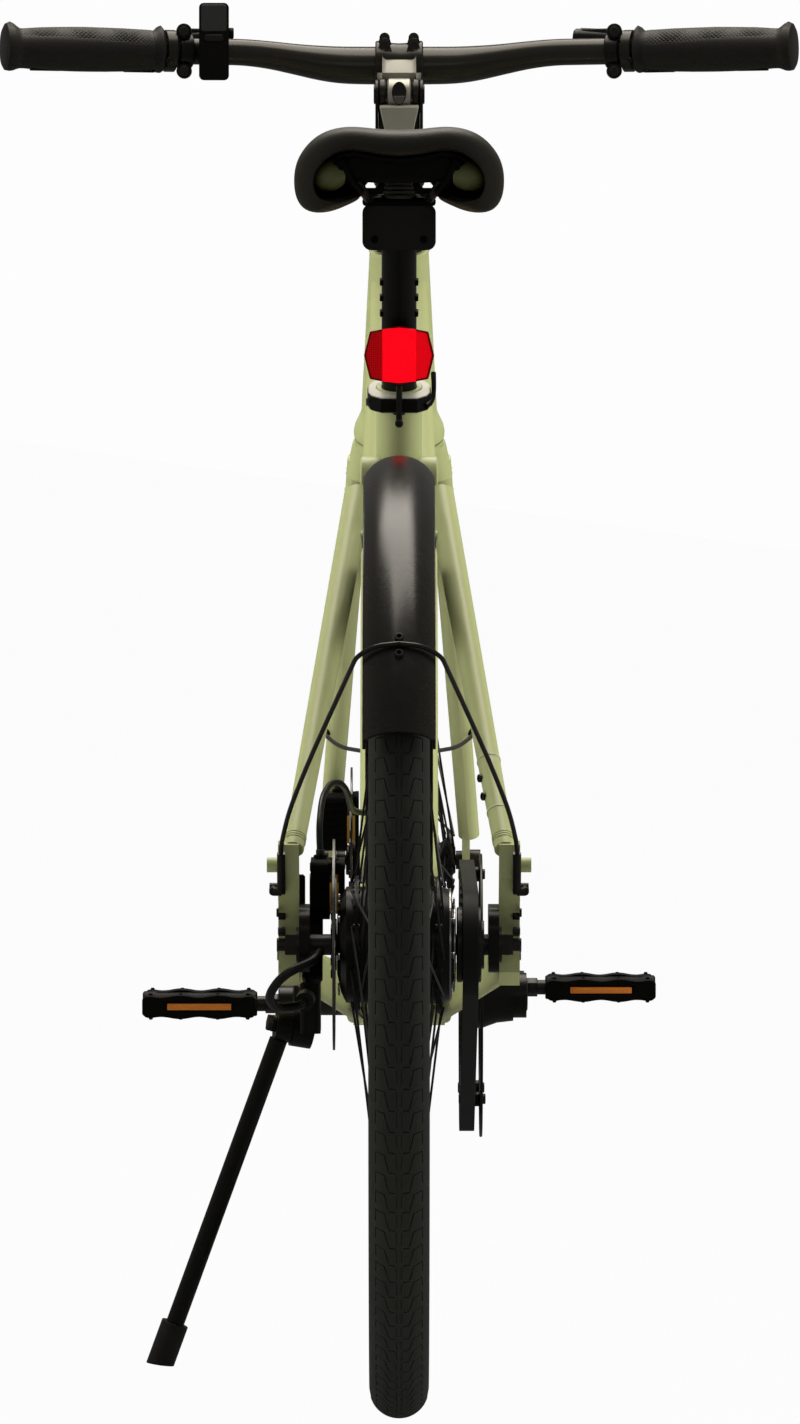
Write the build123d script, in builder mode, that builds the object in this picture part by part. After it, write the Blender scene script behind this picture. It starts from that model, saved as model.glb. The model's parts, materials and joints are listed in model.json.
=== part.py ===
"""Electric bicycle with a belt drive and a hub motor, parked leaning on its side stand.

Millimetres. Every piece is drawn on the upright bicycle: X to its right, Y forward from the
rear axle, Z up from the ground. At the end all pieces are leaned together onto the stand.
"""

from build123d import *
import math
import os

os.makedirs("parts", exist_ok=True)

# ---------------------------------------------------------------- driving dimensions

# wheels
tyre_radius = 357.5
tyre_width = 45.0
tyre_wall = 4.0
rim_bed_radius = 311.3
rim_width = 25.0
rim_flange = 4.7
rim_depth = 14.0
spoke_count = 36
spoke_radius = 0.9
wheelbase = 1120.0

# frame layout
bb_forward = 459.0
bb_height = 287.0
seat_angle = 71.5
head_angle = 69.0
fork_rake = 45.0
seat_tube_length = 500.0
seat_tube_radius = 18.0
seat_post_radius = 13.6
head_tube_radius = 24.6
head_tube_foot_radius = 33.0
head_tube_low = 412.0
crown_low = 378.0
crown_width = 90.0
crown_top_width = 78.0
crown_depth = 40.0
fork_face = 54.2
head_tube_high = 582.0
steerer_radius = 14.3
down_tube_width = 63.0
down_tube_depth = 78.0
down_tube_wall = 3.0
bb_shell_radius = 24.0
bb_shell_width = 73.0

# rear end
dropout_inner = 67.5
dropout_plate = 8.0
dropout_outer = 91.5
rack_boss_length = 8.5
rack_boss_radius = 5.6
rack_thread_radius = 2.5
stay_top_radius = 11.0
stay_low_radius = 8.0
belt_line = 54.0
belt_width = 12.0
belt_thickness = 4.0
front_belt_radius = 108.5
rear_belt_radius = 39.8
rotor_radius = 80.0
rotor_thickness = 1.8
rear_rotor_side = -49.2
front_rotor_side = -41.0

# cranks and pedals
crank_length = 170.0
crank_tilt = 1.8
left_crank_face = -94.0
right_crank_face = 102.0
crank_thickness = 11.0
crank_axle_radius = 12.0
pedal_length = 90.0
pedal_depth = 76.0
pedal_height = 20.5
pedal_spindle_radius = 6.0
pedal_start = 17.0
spindle_shoulder = 11.0

# cockpit
bar_out = 97.0
bar_up = 708.0
bar_half_width = 333.0
bar_clamp_radius = 15.9
bar_grip_radius = 11.1
grip_length = 135.0
grip_radius = 18.0

# mudguards
mudguard_radius = 370.0
mudguard_width = 53.0
mudguard_sheet = 2.0

# side stand
lean_angle = 8.0
stand_leg_radius = 7.0

# clearances
moving_gap = 5.0
fit_gap = 0.3
pin_gap = 0.2

# ---------------------------------------------------------------- places worked out from them

tyre_core = tyre_radius - tyre_width / 2
rear_axle = Vector(0, 0, tyre_radius)
front_axle = Vector(0, wheelbase, tyre_radius)
bb = Vector(0, bb_forward, bb_height)

head_tilt = math.radians(head_angle)
steer_up = Vector(0, -math.cos(head_tilt), math.sin(head_tilt))
steer_out = Vector(0, math.sin(head_tilt), math.cos(head_tilt))
steer_foot = front_axle - steer_out * fork_rake

seat_tilt = math.radians(seat_angle)
seat_up = Vector(0, -math.cos(seat_tilt), math.sin(seat_tilt))
seat_back = Vector(0, -math.sin(seat_tilt), -math.cos(seat_tilt))

across = Vector(1, 0, 0)


def on_steering(x, out, up):
    """Point of the steering assembly: right of its axis, ahead of it, and up along it."""
    return steer_foot + across * x + steer_out * out + steer_up * up


def steering_plane(up, out=0.0, x=0.0):
    """Plane square to the steering axis."""
    return Plane(origin=on_steering(x, out, up), x_dir=across, z_dir=steer_up)


def on_seat_tube(up, back=0.0, x=0.0):
    """Point up the seat tube's line from the bottom bracket, and behind that line."""
    return bb + seat_up * up + seat_back * back + across * x


def spread(point, side):
    """The point on the right, or its mirror image on the left when side is -1."""
    return Vector(point.X * side, point.Y, point.Z)


def rod(start, end, radius, mode=Mode.ADD):
    """Straight round bar from one point to another."""
    span = end - start
    with BuildSketch(Plane(origin=start, z_dir=span)) as section:
        Circle(radius)
    extrude(section.sketch, amount=span.length, mode=mode)


def taper(start, end, start_radius, end_radius, mode=Mode.ADD):
    """Round bar whose radius changes along its length."""
    span = end - start
    with BuildSketch(Plane(origin=start, z_dir=span)) as first:
        Circle(start_radius)
    with BuildSketch(Plane(origin=end, z_dir=span)) as last:
        Circle(end_radius)
    loft([first.sketch, last.sketch], mode=mode)


def hose(points, radius, bend_share=0.45):
    """Round hose along straight runs joined by arcs as large as the runs allow."""
    bends = []
    for before, corner, after in zip(points, points[1:], points[2:]):
        into = corner - before
        out_of = after - corner
        turn = math.radians(into.get_angle(out_of))
        bends.append(bend_share * min(into.length, out_of.length) / math.tan(turn / 2))
    with BuildLine() as route:
        FilletPolyline(*points, radius=bends)
    with BuildSketch(Plane(origin=route.line @ 0, z_dir=route.line % 0)) as section:
        Circle(radius)
    sweep(section.sketch, path=route.line)
    return min(bends)


def wheel_ring(centre, profile, angle=0.0, arc=360.0):
    """Revolve a closed outline about a wheel's axle; each point is (sideways, radius)."""
    turn = math.radians(angle)
    plane = Plane(origin=centre, x_dir=across, z_dir=(0, -math.sin(turn), math.cos(turn)))
    with BuildSketch(plane) as section:
        with BuildLine():
            Polyline(*profile, close=True)
        make_face()
    revolve(section.sketch, axis=Axis(centre, across), revolution_arc=arc)


def drum(centre, from_x, to_x, radius, mode=Mode.ADD):
    """Cylinder along X about a centre, between two distances to the right."""
    rod(centre + across * from_x, centre + across * to_x, radius, mode=mode)


# ---------------------------------------------------------------- wheels


def tyre_section():
    """Tyre outline about the wheel's axle: round outside, open at the bead, as a sketch."""
    core = tyre_width / 2
    inner = core - tyre_wall
    bead = rim_width / 2 - 1.9
    shoulder = math.radians(38)
    over_flange = rim_bed_radius + rim_flange + fit_gap
    bed = rim_bed_radius + fit_gap
    with BuildLine() as outline:
        outer = ThreePointArc(
            (-core * math.cos(shoulder), tyre_core - core * math.sin(shoulder)),
            (0, tyre_radius),
            (core * math.cos(shoulder), tyre_core - core * math.sin(shoulder)),
        )
        right = Polyline(outer @ 1, (bead, over_flange), (bead, bed), (bead - tyre_wall, bed))
        cavity = ThreePointArc(
            (inner * math.cos(shoulder), tyre_core - inner * math.sin(shoulder)),
            (0, tyre_radius - tyre_wall),
            (-inner * math.cos(shoulder), tyre_core - inner * math.sin(shoulder)),
        )
        Line(right @ 1, cavity @ 0)
        Polyline(cavity @ 1, (tyre_wall - bead, bed), (-bead, bed), (-bead, over_flange), outer @ 0)
    return outline


def tyre(centre):
    """Hollow tyre about an axle."""
    with BuildSketch(Plane(origin=centre, x_dir=across, z_dir=(0, 0, 1))) as section:
        add(tyre_section().line)
        make_face()
    revolve(section.sketch, axis=Axis(centre, across))


def rim(centre):
    """Rim with a bed for the tyre and two flanges."""
    side = rim_width / 2
    lip = side - 1.5
    top = rim_bed_radius + rim_flange
    low = rim_bed_radius - rim_depth
    wheel_ring(
        centre,
        [
            (-side, top),
            (-side, rim_bed_radius - 8),
            (-8, low),
            (8, low),
            (side, rim_bed_radius - 8),
            (side, top),
            (lip, top),
            (lip, rim_bed_radius),
            (-lip, rim_bed_radius),
            (-lip, top),
        ],
    )


def spokes(centre, flanges, hub_radius):
    """Spokes laced three-cross from two flanges, each given as its distance to the right."""
    per_side = spoke_count // 2
    lead = 60.0
    rim_reach = rim_bed_radius - rim_depth - 0.7
    for flange, first in zip(flanges, (0.0, 360.0 / spoke_count)):
        for index in range(per_side):
            leading = index % 2 == 0
            at_rim = math.radians(first + index * 360.0 / per_side)
            at_hub = at_rim + math.radians(lead if leading else -lead)
            off_face = 3.7 if leading else -3.7
            start = centre + Vector(
                flange + off_face,
                hub_radius * math.cos(at_hub),
                hub_radius * math.sin(at_hub),
            )
            end = centre + Vector(
                math.copysign(3.0, flange),
                rim_reach * math.cos(at_rim),
                rim_reach * math.sin(at_rim),
            )
            rod(start, end, spoke_radius)


def rotor(centre, side):
    """Brake disc: slotted friction ring, six arms and a hub plate, centred at its side."""
    half = rotor_thickness / 2
    ring_inner = rotor_radius - 15
    drum(centre, side - half, side + half, rotor_radius)
    drum(centre, side - half, side + half, ring_inner, mode=Mode.SUBTRACT)
    drum(centre, side - half, side + half, 26.0)
    for arm in range(6):
        turn = math.radians(60 * arm)
        swing = math.radians(60 * arm + 22)
        inner = Vector(0, 22 * math.cos(turn), 22 * math.sin(turn))
        outer = Vector(0, (ring_inner + 3) * math.cos(swing), (ring_inner + 3) * math.sin(swing))
        along = (outer - inner).normalized()
        plane = Plane(origin=centre + across * (side - half) + inner, x_dir=along, z_dir=across)
        with BuildSketch(plane) as bar:
            with Locations(((outer - inner).length / 2, 0)):
                Rectangle((outer - inner).length, 7.0)
        extrude(bar.sketch, amount=rotor_thickness)


# rear wheel
motor_flanges = (-32.0, 30.0)
motor_flange_radius = 52.0
motor_radius = 44.0
rear_shaft_radius = 8.0
motor_left = -46.8
motor_right = 43.0

with BuildPart() as rear_tyre:
    tyre(rear_axle)
rear_tyre.part.label = "rear_tyre"

with BuildPart() as rear_rim:
    rim(rear_axle)
rear_rim.part.label = "rear_rim"

with BuildPart() as rear_spokes:
    spokes(rear_axle, motor_flanges, motor_flange_radius - 4)
rear_spokes.part.label = "rear_spokes"

with BuildPart() as hub_motor:
    shaft = rear_shaft_radius + pin_gap
    wheel_ring(
        rear_axle,
        [
            (motor_left, shaft),
            (motor_left, 22),
            (motor_left + 3, 36),
            (motor_left + 7, motor_radius),
            (motor_flanges[0] - 1.5, motor_radius),
            (motor_flanges[0] - 1.5, motor_flange_radius),
            (motor_flanges[0] + 1.5, motor_flange_radius),
            (motor_flanges[0] + 1.5, motor_radius),
            (motor_flanges[1] - 1.5, motor_radius),
            (motor_flanges[1] - 1.5, motor_flange_radius),
            (motor_flanges[1] + 1.5, motor_flange_radius),
            (motor_flanges[1] + 1.5, motor_radius),
            (motor_right - 5, motor_radius - 2),
            (motor_right - 2, 30),
            (motor_right, 21),
            (motor_right, shaft),
        ],
    )
hub_motor.part.label = "hub_motor"

with BuildPart() as rear_rotor:
    rotor(rear_axle, rear_rotor_side)
    drum(rear_axle, rear_rotor_side - 2, motor_left - fit_gap, 20.0)
    drum(rear_axle, rear_rotor_side - 3, motor_left, shaft, mode=Mode.SUBTRACT)
rear_rotor.part.label = "rear_rotor"

cog_radius = rear_belt_radius - belt_thickness - fit_gap
with BuildPart() as rear_cog:
    half_belt = belt_width / 2
    wheel_ring(
        rear_axle,
        [
            (motor_right + fit_gap, shaft),
            (motor_right + fit_gap, 28.6),
            (belt_line - half_belt + 0.5, 28.6),
            (belt_line - half_belt + 0.5, cog_radius),
            (belt_line + half_belt - 0.5, cog_radius),
            (belt_line + half_belt - 0.5, 28.6),
            (belt_line + half_belt + 2.0, 28.6),
            (belt_line + half_belt + 2.5, 18.3),
            (belt_line + half_belt + 4.5, 18.3),
            (belt_line + half_belt + 4.5, shaft),
        ],
    )
rear_cog.part.label = "rear_cog"

# front wheel
front_flanges = (-27.0, 43.5)
front_flange_radius = 26.0
front_hub_radius = 15.0
front_axle_radius = 4.5

with BuildPart() as front_tyre:
    tyre(front_axle)
front_tyre.part.label = "front_tyre"

with BuildPart() as front_rim:
    rim(front_axle)
front_rim.part.label = "front_rim"

with BuildPart() as front_spokes:
    spokes(front_axle, front_flanges, front_flange_radius - 3.5)
front_spokes.part.label = "front_spokes"

with BuildPart() as front_hub:
    bore = front_axle_radius + pin_gap
    wheel_ring(
        front_axle,
        [
            (front_rotor_side + 1.2, bore),
            (front_rotor_side + 1.2, 20),
            (front_flanges[0] - 6, 20),
            (front_flanges[0] - 1.5, 20),
            (front_flanges[0] - 1.5, front_flange_radius),
            (front_flanges[0] + 1.5, front_flange_radius),
            (front_flanges[0] + 1.5, 20),
            (front_flanges[0] + 8, front_hub_radius),
            (front_flanges[1] - 8, front_hub_radius),
            (front_flanges[1] - 1.5, 20),
            (front_flanges[1] - 1.5, front_flange_radius),
            (front_flanges[1] + 1.5, front_flange_radius),
            (front_flanges[1] + 1.5, 14),
            (front_flanges[1] + 5, 11),
            (front_flanges[1] + 5, bore),
        ],
    )
front_hub.part.label = "front_hub"

with BuildPart() as front_rotor:
    rotor(front_axle, front_rotor_side)
    drum(front_axle, front_rotor_side - 5, front_rotor_side, bore + 8)
    drum(front_axle, front_rotor_side - 6, front_rotor_side + 2, bore, mode=Mode.SUBTRACT)
front_rotor.part.label = "front_rotor"

# ---------------------------------------------------------------- frame

head_middle = on_steering(0, 0, (head_tube_low + head_tube_high) / 2)
down_span = bb - head_middle
down_dir = down_span.normalized()


def down_tube_plane(distance):
    """Plane square to the down tube, this far along it from the head tube's middle."""
    return Plane(origin=head_middle + down_dir * distance, x_dir=across, z_dir=down_dir)


flare_length = 190.0
battery_start = flare_length + 60.0
battery_length = 350.0

with BuildPart() as main_frame:
    taper(
        on_steering(0, 0, head_tube_low),
        on_steering(0, 0, head_tube_high),
        head_tube_foot_radius,
        head_tube_radius,
    )
    with BuildSketch(Plane(origin=head_middle, x_dir=across, z_dir=-steer_out)) as head_joint:
        RectangleRounded(2 * head_tube_radius - 4, head_tube_high - head_tube_low - 16, 14)
    with BuildSketch(down_tube_plane(flare_length)) as flare_end:
        RectangleRounded(down_tube_width, down_tube_depth + 12, 11)
    loft([head_joint.sketch, flare_end.sketch])
    with BuildSketch(down_tube_plane(flare_length)) as tube_start:
        RectangleRounded(down_tube_width, down_tube_depth + 12, 11)
    with BuildSketch(down_tube_plane(down_span.length - 8)) as tube_end:
        RectangleRounded(down_tube_width, down_tube_depth - 12, 11)
    loft([tube_start.sketch, tube_end.sketch])
    rod(bb, on_seat_tube(seat_tube_length), seat_tube_radius)
    drum(bb, -bb_shell_width / 2, bb_shell_width / 2, bb_shell_radius)
    brace_front = head_middle + down_dir * (down_span.length - 300)
    rod(on_seat_tube(200), brace_front, 15.0)
    lug = on_seat_tube(442, back=8)
    rod(lug - across * 29, lug + across * 29, 17.0)
    rod(
        on_steering(0, 0, crown_low - 60),
        on_steering(0, 0, head_tube_low),
        crown_width / 2 + moving_gap + 1,
        mode=Mode.SUBTRACT,
    )
    frame_outline = main_frame.part
    # bores: steering tube, seat post, bottom bracket and the battery's room
    rod(
        on_steering(0, 0, head_tube_low - 5),
        on_steering(0, 0, head_tube_high + 5),
        steerer_radius + pin_gap,
        mode=Mode.SUBTRACT,
    )
    rod(
        on_seat_tube(150),
        on_seat_tube(seat_tube_length + 5),
        seat_post_radius + 0.1,
        mode=Mode.SUBTRACT,
    )
    drum(bb, -60, 60, crank_axle_radius + pin_gap, mode=Mode.SUBTRACT)
    with BuildSketch(down_tube_plane(battery_start)) as battery_room:
        RectangleRounded(down_tube_width - 2 * down_tube_wall, down_tube_depth - 20, 8)
    extrude(battery_room.sketch, amount=battery_length, mode=Mode.SUBTRACT)
main_frame.part.label = "main_frame"

with BuildPart() as battery:
    with BuildSketch(down_tube_plane(battery_start + fit_gap)) as battery_end:
        RectangleRounded(
            down_tube_width - 2 * down_tube_wall - 2 * fit_gap,
            down_tube_depth - 20 - 2 * fit_gap,
            8 - fit_gap,
        )
    extrude(battery_end.sketch, amount=battery_length - 2 * fit_gap)
battery.part.label = "battery"

# rear triangle
stay_top = Vector(32, bb_forward - 159, bb_height + 404)
stay_low = Vector(80, 4, tyre_radius + 72)
chain_stay_back = Vector(84.5, 44, tyre_radius - 14)
chain_stay_knee = Vector(36, bb_forward - 112, bb_height + 9)
chain_stay_front = Vector(36, bb_forward - 30, bb_height + 2)
chain_stay_width = 13.0
knee_width = 11.0
green_inner = dropout_inner + dropout_plate + 0.2


def chain_stay(side):
    """Chain stay that grows deeper towards the bottom bracket and runs flat past the wheel."""
    sections = [
        (chain_stay_back, chain_stay_width, 28.0),
        (chain_stay_knee, knee_width, 40.0),
        (chain_stay_front, knee_width, 44.0),
    ]
    faces = []
    for centre, width, depth in sections:
        plane = Plane(origin=spread(centre, side), x_dir=across, z_dir=(0, 1, 0))
        with BuildSketch(plane) as section:
            RectangleRounded(width, depth, width / 2 - 0.5)
        faces.append(section.sketch)
    loft(faces[:2])
    loft(faces[1:])


def dropout_body(side):
    """Thick frame end that joins a seat stay and a chain stay ahead of the axle."""
    axle_z = tyre_radius
    with BuildSketch(Plane.YZ.offset(green_inner * side)) as profile:
        with BuildLine():
            Polyline(
                (-6, axle_z + 76),
                (12, axle_z + 78),
                (38, axle_z + 44),
                (66, axle_z + 14),
                (78, axle_z - 2),
                (76, axle_z - 30),
                (30, axle_z - 33),
                (16, axle_z - 22),
                (19, axle_z + 20),
                (2, axle_z + 50),
                close=True,
            )
        make_face()
    extrude(profile.sketch, amount=(dropout_outer - green_inner) * side)


with BuildPart() as rear_triangle:
    for side in (-1, 1):
        taper(spread(stay_top, side), spread(stay_low, side), stay_top_radius, stay_low_radius)
        chain_stay(side)
        dropout_body(side)
    bridge_share = 0.13
    bridge = stay_top + (stay_low - stay_top) * bridge_share
    rod(spread(bridge, -1), bridge, 7.0)
    with BuildSketch(Plane.YZ.offset(-40)) as yoke:
        with Locations((bb_forward - 52, bb_height + 2)):
            RectangleRounded(56, 36, 12)
    extrude(yoke.sketch, amount=80)
    add(frame_outline, mode=Mode.SUBTRACT)
rear_triangle.part.label = "rear_triangle"

# threaded bosses for a rack's legs, welded on the outside of the frame ends
with BuildPart() as rack_bosses:
    for side in (-1, 1):
        boss_inner = Vector(side * dropout_outer, 6, tyre_radius + 60)
        boss_outer = boss_inner + across * (side * rack_boss_length)
        rod(boss_inner, boss_outer, rack_boss_radius)
        rod(boss_inner, boss_outer, rack_thread_radius, mode=Mode.SUBTRACT)
rack_bosses.part.label = "rack_bosses"

# black end plates that clamp the rear axle
rear_end_radius = 4.95
with BuildPart() as dropout_plates:
    for side in (-1, 1):
        with BuildSketch(Plane.YZ.offset(dropout_inner * side)) as plate:
            with Locations((14, tyre_radius + 4)):
                RectangleRounded(68, 50, 18)
            with Locations((0, tyre_radius)):
                Circle(rear_end_radius + 0.1, mode=Mode.SUBTRACT)
        extrude(plate.sketch, amount=dropout_plate * side)
dropout_plates.part.label = "dropout_plates"

nut_inner = dropout_inner + dropout_plate
with BuildPart() as rear_axle_set:
    drum(rear_axle, -dropout_inner + 0.2, dropout_inner - 0.2, rear_shaft_radius)
    drum(rear_axle, -dropout_outer - 1, dropout_outer + 1, rear_end_radius)
    for side in (-1, 1):
        drum(rear_axle, side * (nut_inner + 0.1), side * (nut_inner + 2.2), 13.5)
        nut_plane = Plane(
            origin=rear_axle + across * (side * (nut_inner + 2.2)),
            x_dir=(0, 1, 0),
            z_dir=across * side,
        )
        with BuildSketch(nut_plane) as nut:
            RegularPolygon(7.5, 6, major_radius=False)
        extrude(nut.sketch, amount=8.5)
rear_axle_set.part.label = "rear_axle"

# ---------------------------------------------------------------- seat

collar_up = seat_tube_length - 8
with BuildPart() as seat_clamp:
    rod(on_seat_tube(collar_up), on_seat_tube(collar_up + 16), 24.5)
    rod(
        on_seat_tube(collar_up - 1),
        on_seat_tube(seat_tube_length + 0.2),
        seat_tube_radius + 0.1,
        mode=Mode.SUBTRACT,
    )
    rod(
        on_seat_tube(collar_up - 1),
        on_seat_tube(collar_up + 20),
        seat_post_radius + 0.3,
        mode=Mode.SUBTRACT,
    )
    skewer = on_seat_tube(collar_up + 8, back=31)
    rod(skewer - across * 14, skewer + across * 14, 6.0)
    lever_start = skewer + across * 18
    rod(skewer + across * 14, lever_start, 4.5)
    taper(lever_start, lever_start + Vector(9, 10, 30), 4.5, 3.2)
    rod(skewer, skewer + seat_back * 5 - seat_up * 14, 3.0)
seat_clamp.part.label = "seat_clamp"

post_top = 628.0
with BuildPart() as seat_post:
    rod(on_seat_tube(seat_tube_length - 110), on_seat_tube(post_top + 8), seat_post_radius)
    head_centre = on_seat_tube(post_top + 20)
    rail_height = head_centre.Z + 20.2
    with BuildSketch(Plane.XZ.offset(-head_centre.Y - 24)) as head_box:
        with Locations((0, head_centre.Z - 1.5)):
            RectangleRounded(57, 36, 7)
    extrude(head_box.sketch, amount=46)
seat_post.part.label = "seat_post"

saddle_stations = [
    # distance ahead of the saddle's back, width, crown height, edge height
    (0.0, 118.0, 30.0, 2.0),
    (34.0, 159.5, 42.0, -24.0),
    (95.0, 140.0, 40.0, -12.0),
    (165.0, 76.0, 37.0, 6.0),
    (262.0, 40.0, 26.0, 6.0),
]
saddle_back = Vector(0, 112.0, 935.0)


def saddle_layer(drop, thickness, inset):
    """Arched layer of the saddle, this far below its crown line and this thick."""
    faces = []
    for ahead, width, crown, edge in saddle_stations:
        half = width / 2 - inset
        plane = Plane(
            origin=saddle_back + Vector(0, ahead, 0), x_dir=across, z_dir=(0, -1, 0)
        )
        rise = crown - drop
        foot = edge + inset / 3
        with BuildSketch(plane) as section:
            with BuildLine():
                top = ThreePointArc((-half, foot), (0, rise), (half, foot))
                edge_right = Line(top @ 1, (half - thickness / 2, foot - 1))
                low = ThreePointArc(
                    edge_right @ 1, (0, rise - thickness), (-half + thickness / 2, foot - 1)
                )
                Line(low @ 1, top @ 0)
            make_face()
        faces.append(section.sketch)
    loft(faces)


with BuildPart() as saddle_cover:
    saddle_layer(0.0, 12.0, 0.0)
saddle_cover.part.label = "saddle_cover"

with BuildPart() as saddle_shell:
    saddle_layer(13.8, 4.0, 14.0)
saddle_shell.part.label = "saddle_shell"

rail_radius = 3.5
with BuildPart() as saddle_rails:
    for side in (-1, 1):
        middle_z = rail_height
        rail_points = [
            Vector(side * 38, saddle_back.Y + 42, middle_z + 22),
            Vector(side * 24, saddle_back.Y + 82, middle_z),
            Vector(side * 21, saddle_back.Y + 170, middle_z),
            Vector(side * 9, saddle_back.Y + 214, middle_z + 17),
        ]
        hose(rail_points, rail_radius, bend_share=0.3)
saddle_rails.part.label = "saddle_rails"

with BuildPart() as saddle_clamp:
    clamp_y = head_centre.Y
    with BuildSketch(Plane.XY.offset(rail_height + rail_radius + fit_gap)) as clamp_top:
        with Locations((0, clamp_y + 2)):
            RectangleRounded(56, 34, 6)
    extrude(clamp_top.sketch, amount=5)
    for side in (-1, 1):
        bolt = Vector(0, clamp_y + 2 + side * 11, head_centre.Z + 16.6)
        rod(bolt, bolt + Vector(0, 0, 14), 3.0)
saddle_clamp.part.label = "saddle_clamp"

# ---------------------------------------------------------------- rear reflector

reflector_width = 55.0
reflector_height = 46.0
reflector_up = 546.0
reflector_base = on_seat_tube(reflector_up, back=seat_post_radius + fit_gap)
reflector_plane_y = reflector_base.Y - 11.0
with BuildPart() as rear_reflector:
    half_w = reflector_width / 2
    half_h = reflector_height / 2
    lens_origin = (0, reflector_plane_y, reflector_base.Z)
    with BuildSketch(Plane(origin=lens_origin, x_dir=across, z_dir=(0, -1, 0))) as lens:
        with BuildLine():
            Polyline(
                (0, half_h),
                (half_w - 5, half_h - 4.5),
                (half_w, 0),
                (half_w - 5, 4.5 - half_h),
                (0, -half_h),
                (5 - half_w, 4.5 - half_h),
                (-half_w, 0),
                (5 - half_w, half_h - 4.5),
                close=True,
            )
        make_face()
    extrude(lens.sketch, amount=9)
    band_low = on_seat_tube(reflector_up - 6)
    band_high = on_seat_tube(reflector_up + 8)
    rod(band_low, band_high, seat_post_radius + 4)
    arm = on_seat_tube(reflector_up, back=seat_post_radius)
    rod(arm, Vector(0, reflector_plane_y - 1, arm.Z), 5.0)
    rod(
        on_seat_tube(reflector_up - 22),
        on_seat_tube(reflector_up + 24),
        seat_post_radius + 0.1,
        mode=Mode.SUBTRACT,
    )
rear_reflector.part.label = "rear_reflector"

# ---------------------------------------------------------------- mudguards


def mudguard(centre, start_angle, end_angle):
    """Curved sheet over a wheel, from one angle above the forward level to another."""
    half = mudguard_width / 2
    edge = mudguard_radius - 16
    turn = math.radians(start_angle)
    plane = Plane(origin=centre, x_dir=across, z_dir=(0, -math.sin(turn), math.cos(turn)))
    with BuildSketch(plane) as section:
        with BuildLine():
            outer = ThreePointArc((-half, edge), (0, mudguard_radius), (half, edge))
            lip = Line(outer @ 1, (half - mudguard_sheet, edge - 1))
            inner = ThreePointArc(
                lip @ 1, (0, mudguard_radius - mudguard_sheet), (mudguard_sheet - half, edge - 1)
            )
            Line(inner @ 1, outer @ 0)
        make_face()
    revolve(
        section.sketch, axis=Axis(centre, across), revolution_arc=end_angle - start_angle
    )


def around(centre, radius, angle, x=0.0):
    """Point at a distance from a wheel's axle, at an angle above the forward level."""
    turn = math.radians(angle)
    return centre + Vector(x, radius * math.cos(turn), radius * math.sin(turn))


rear_guard_back = 151.6
rear_guard_front = -9.0
with BuildPart() as rear_mudguard:
    mudguard(rear_axle, rear_guard_front, rear_guard_back)
    bridge_angle = math.degrees(math.atan2(bridge.Z - tyre_radius, bridge.Y))
    bridge_reach = (Vector(0, bridge.Y, bridge.Z) - rear_axle).length
    rod(
        around(rear_axle, mudguard_radius - 1, bridge_angle),
        around(rear_axle, bridge_reach - 7.0 - fit_gap, bridge_angle),
        6.0,
    )
    low_angle = rear_guard_front + 4
    yoke_gap = bb_forward - 80 - fit_gap
    tail = around(rear_axle, mudguard_radius - 1, low_angle)
    rod(tail, Vector(0, yoke_gap, tail.Z), 6.0)
rear_mudguard.part.label = "rear_mudguard"

wire_radius = 1.75
wire_angle = 140.2
wire_top = around(rear_axle, mudguard_radius + wire_radius + 0.6, wire_angle)
with BuildPart() as rear_mudguard_stay:
    for side in (-1, 1):
        crossing = [
            wire_top,
            around(rear_axle, mudguard_radius - 0.5, wire_angle, side * 17.5),
            around(rear_axle, mudguard_radius - 13, wire_angle, side * 31.0),
            Vector(side * 49, -196, tyre_radius + 187),
            Vector(side * 68, -128, tyre_radius + 143),
            Vector(side * 83, -60, tyre_radius + 103),
            Vector(side * 89.5, -14, tyre_radius + 74),
            Vector(side * 89, 1.0, tyre_radius + 42),
        ]
        hose(crossing, wire_radius)
        clip_top = Vector(side * 89, -12.5, tyre_radius + 70)
        clip_low = Vector(side * 89, 1.5, tyre_radius + 40)
        rod(clip_top, clip_low, 3.2)
        elbow = Vector(side * (dropout_outer + 3.6), 1.5, tyre_radius + 40)
        rod(clip_low, elbow, 3.2)
        rod(elbow, elbow + Vector(0, 10, 2), 3.2)
        bolt = elbow + Vector(side * -3, 9, 2)
        rod(bolt, bolt + across * (side * 6.0), 4.2)
rear_mudguard_stay.part.label = "rear_mudguard_stay"

# ---------------------------------------------------------------- rear brake and cables


def caliper(corner_low, corner_high, slot_x, slot_centre):
    """Brake caliper: a body with a slot that the disc turns in."""
    size = corner_high - corner_low
    centre = (corner_low + corner_high) * 0.5
    with BuildSketch(Plane.YZ.offset(corner_low.X)) as body:
        with Locations((centre.Y, centre.Z)):
            RectangleRounded(size.Y, size.Z, 9)
    extrude(body.sketch, amount=size.X)
    drum(slot_centre, slot_x - 4, slot_x + 4, rotor_radius + 5, mode=Mode.SUBTRACT)


with BuildPart() as rear_brake_caliper:
    caliper(
        Vector(-dropout_inner + fit_gap, 34, tyre_radius + 16),
        Vector(-41.4, 92, tyre_radius + 62),
        rear_rotor_side,
        rear_axle,
    )
    drum(rear_axle, motor_left - 3, motor_left + 10, motor_radius + 6, mode=Mode.SUBTRACT)
rear_brake_caliper.part.label = "rear_brake_caliper"

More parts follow.
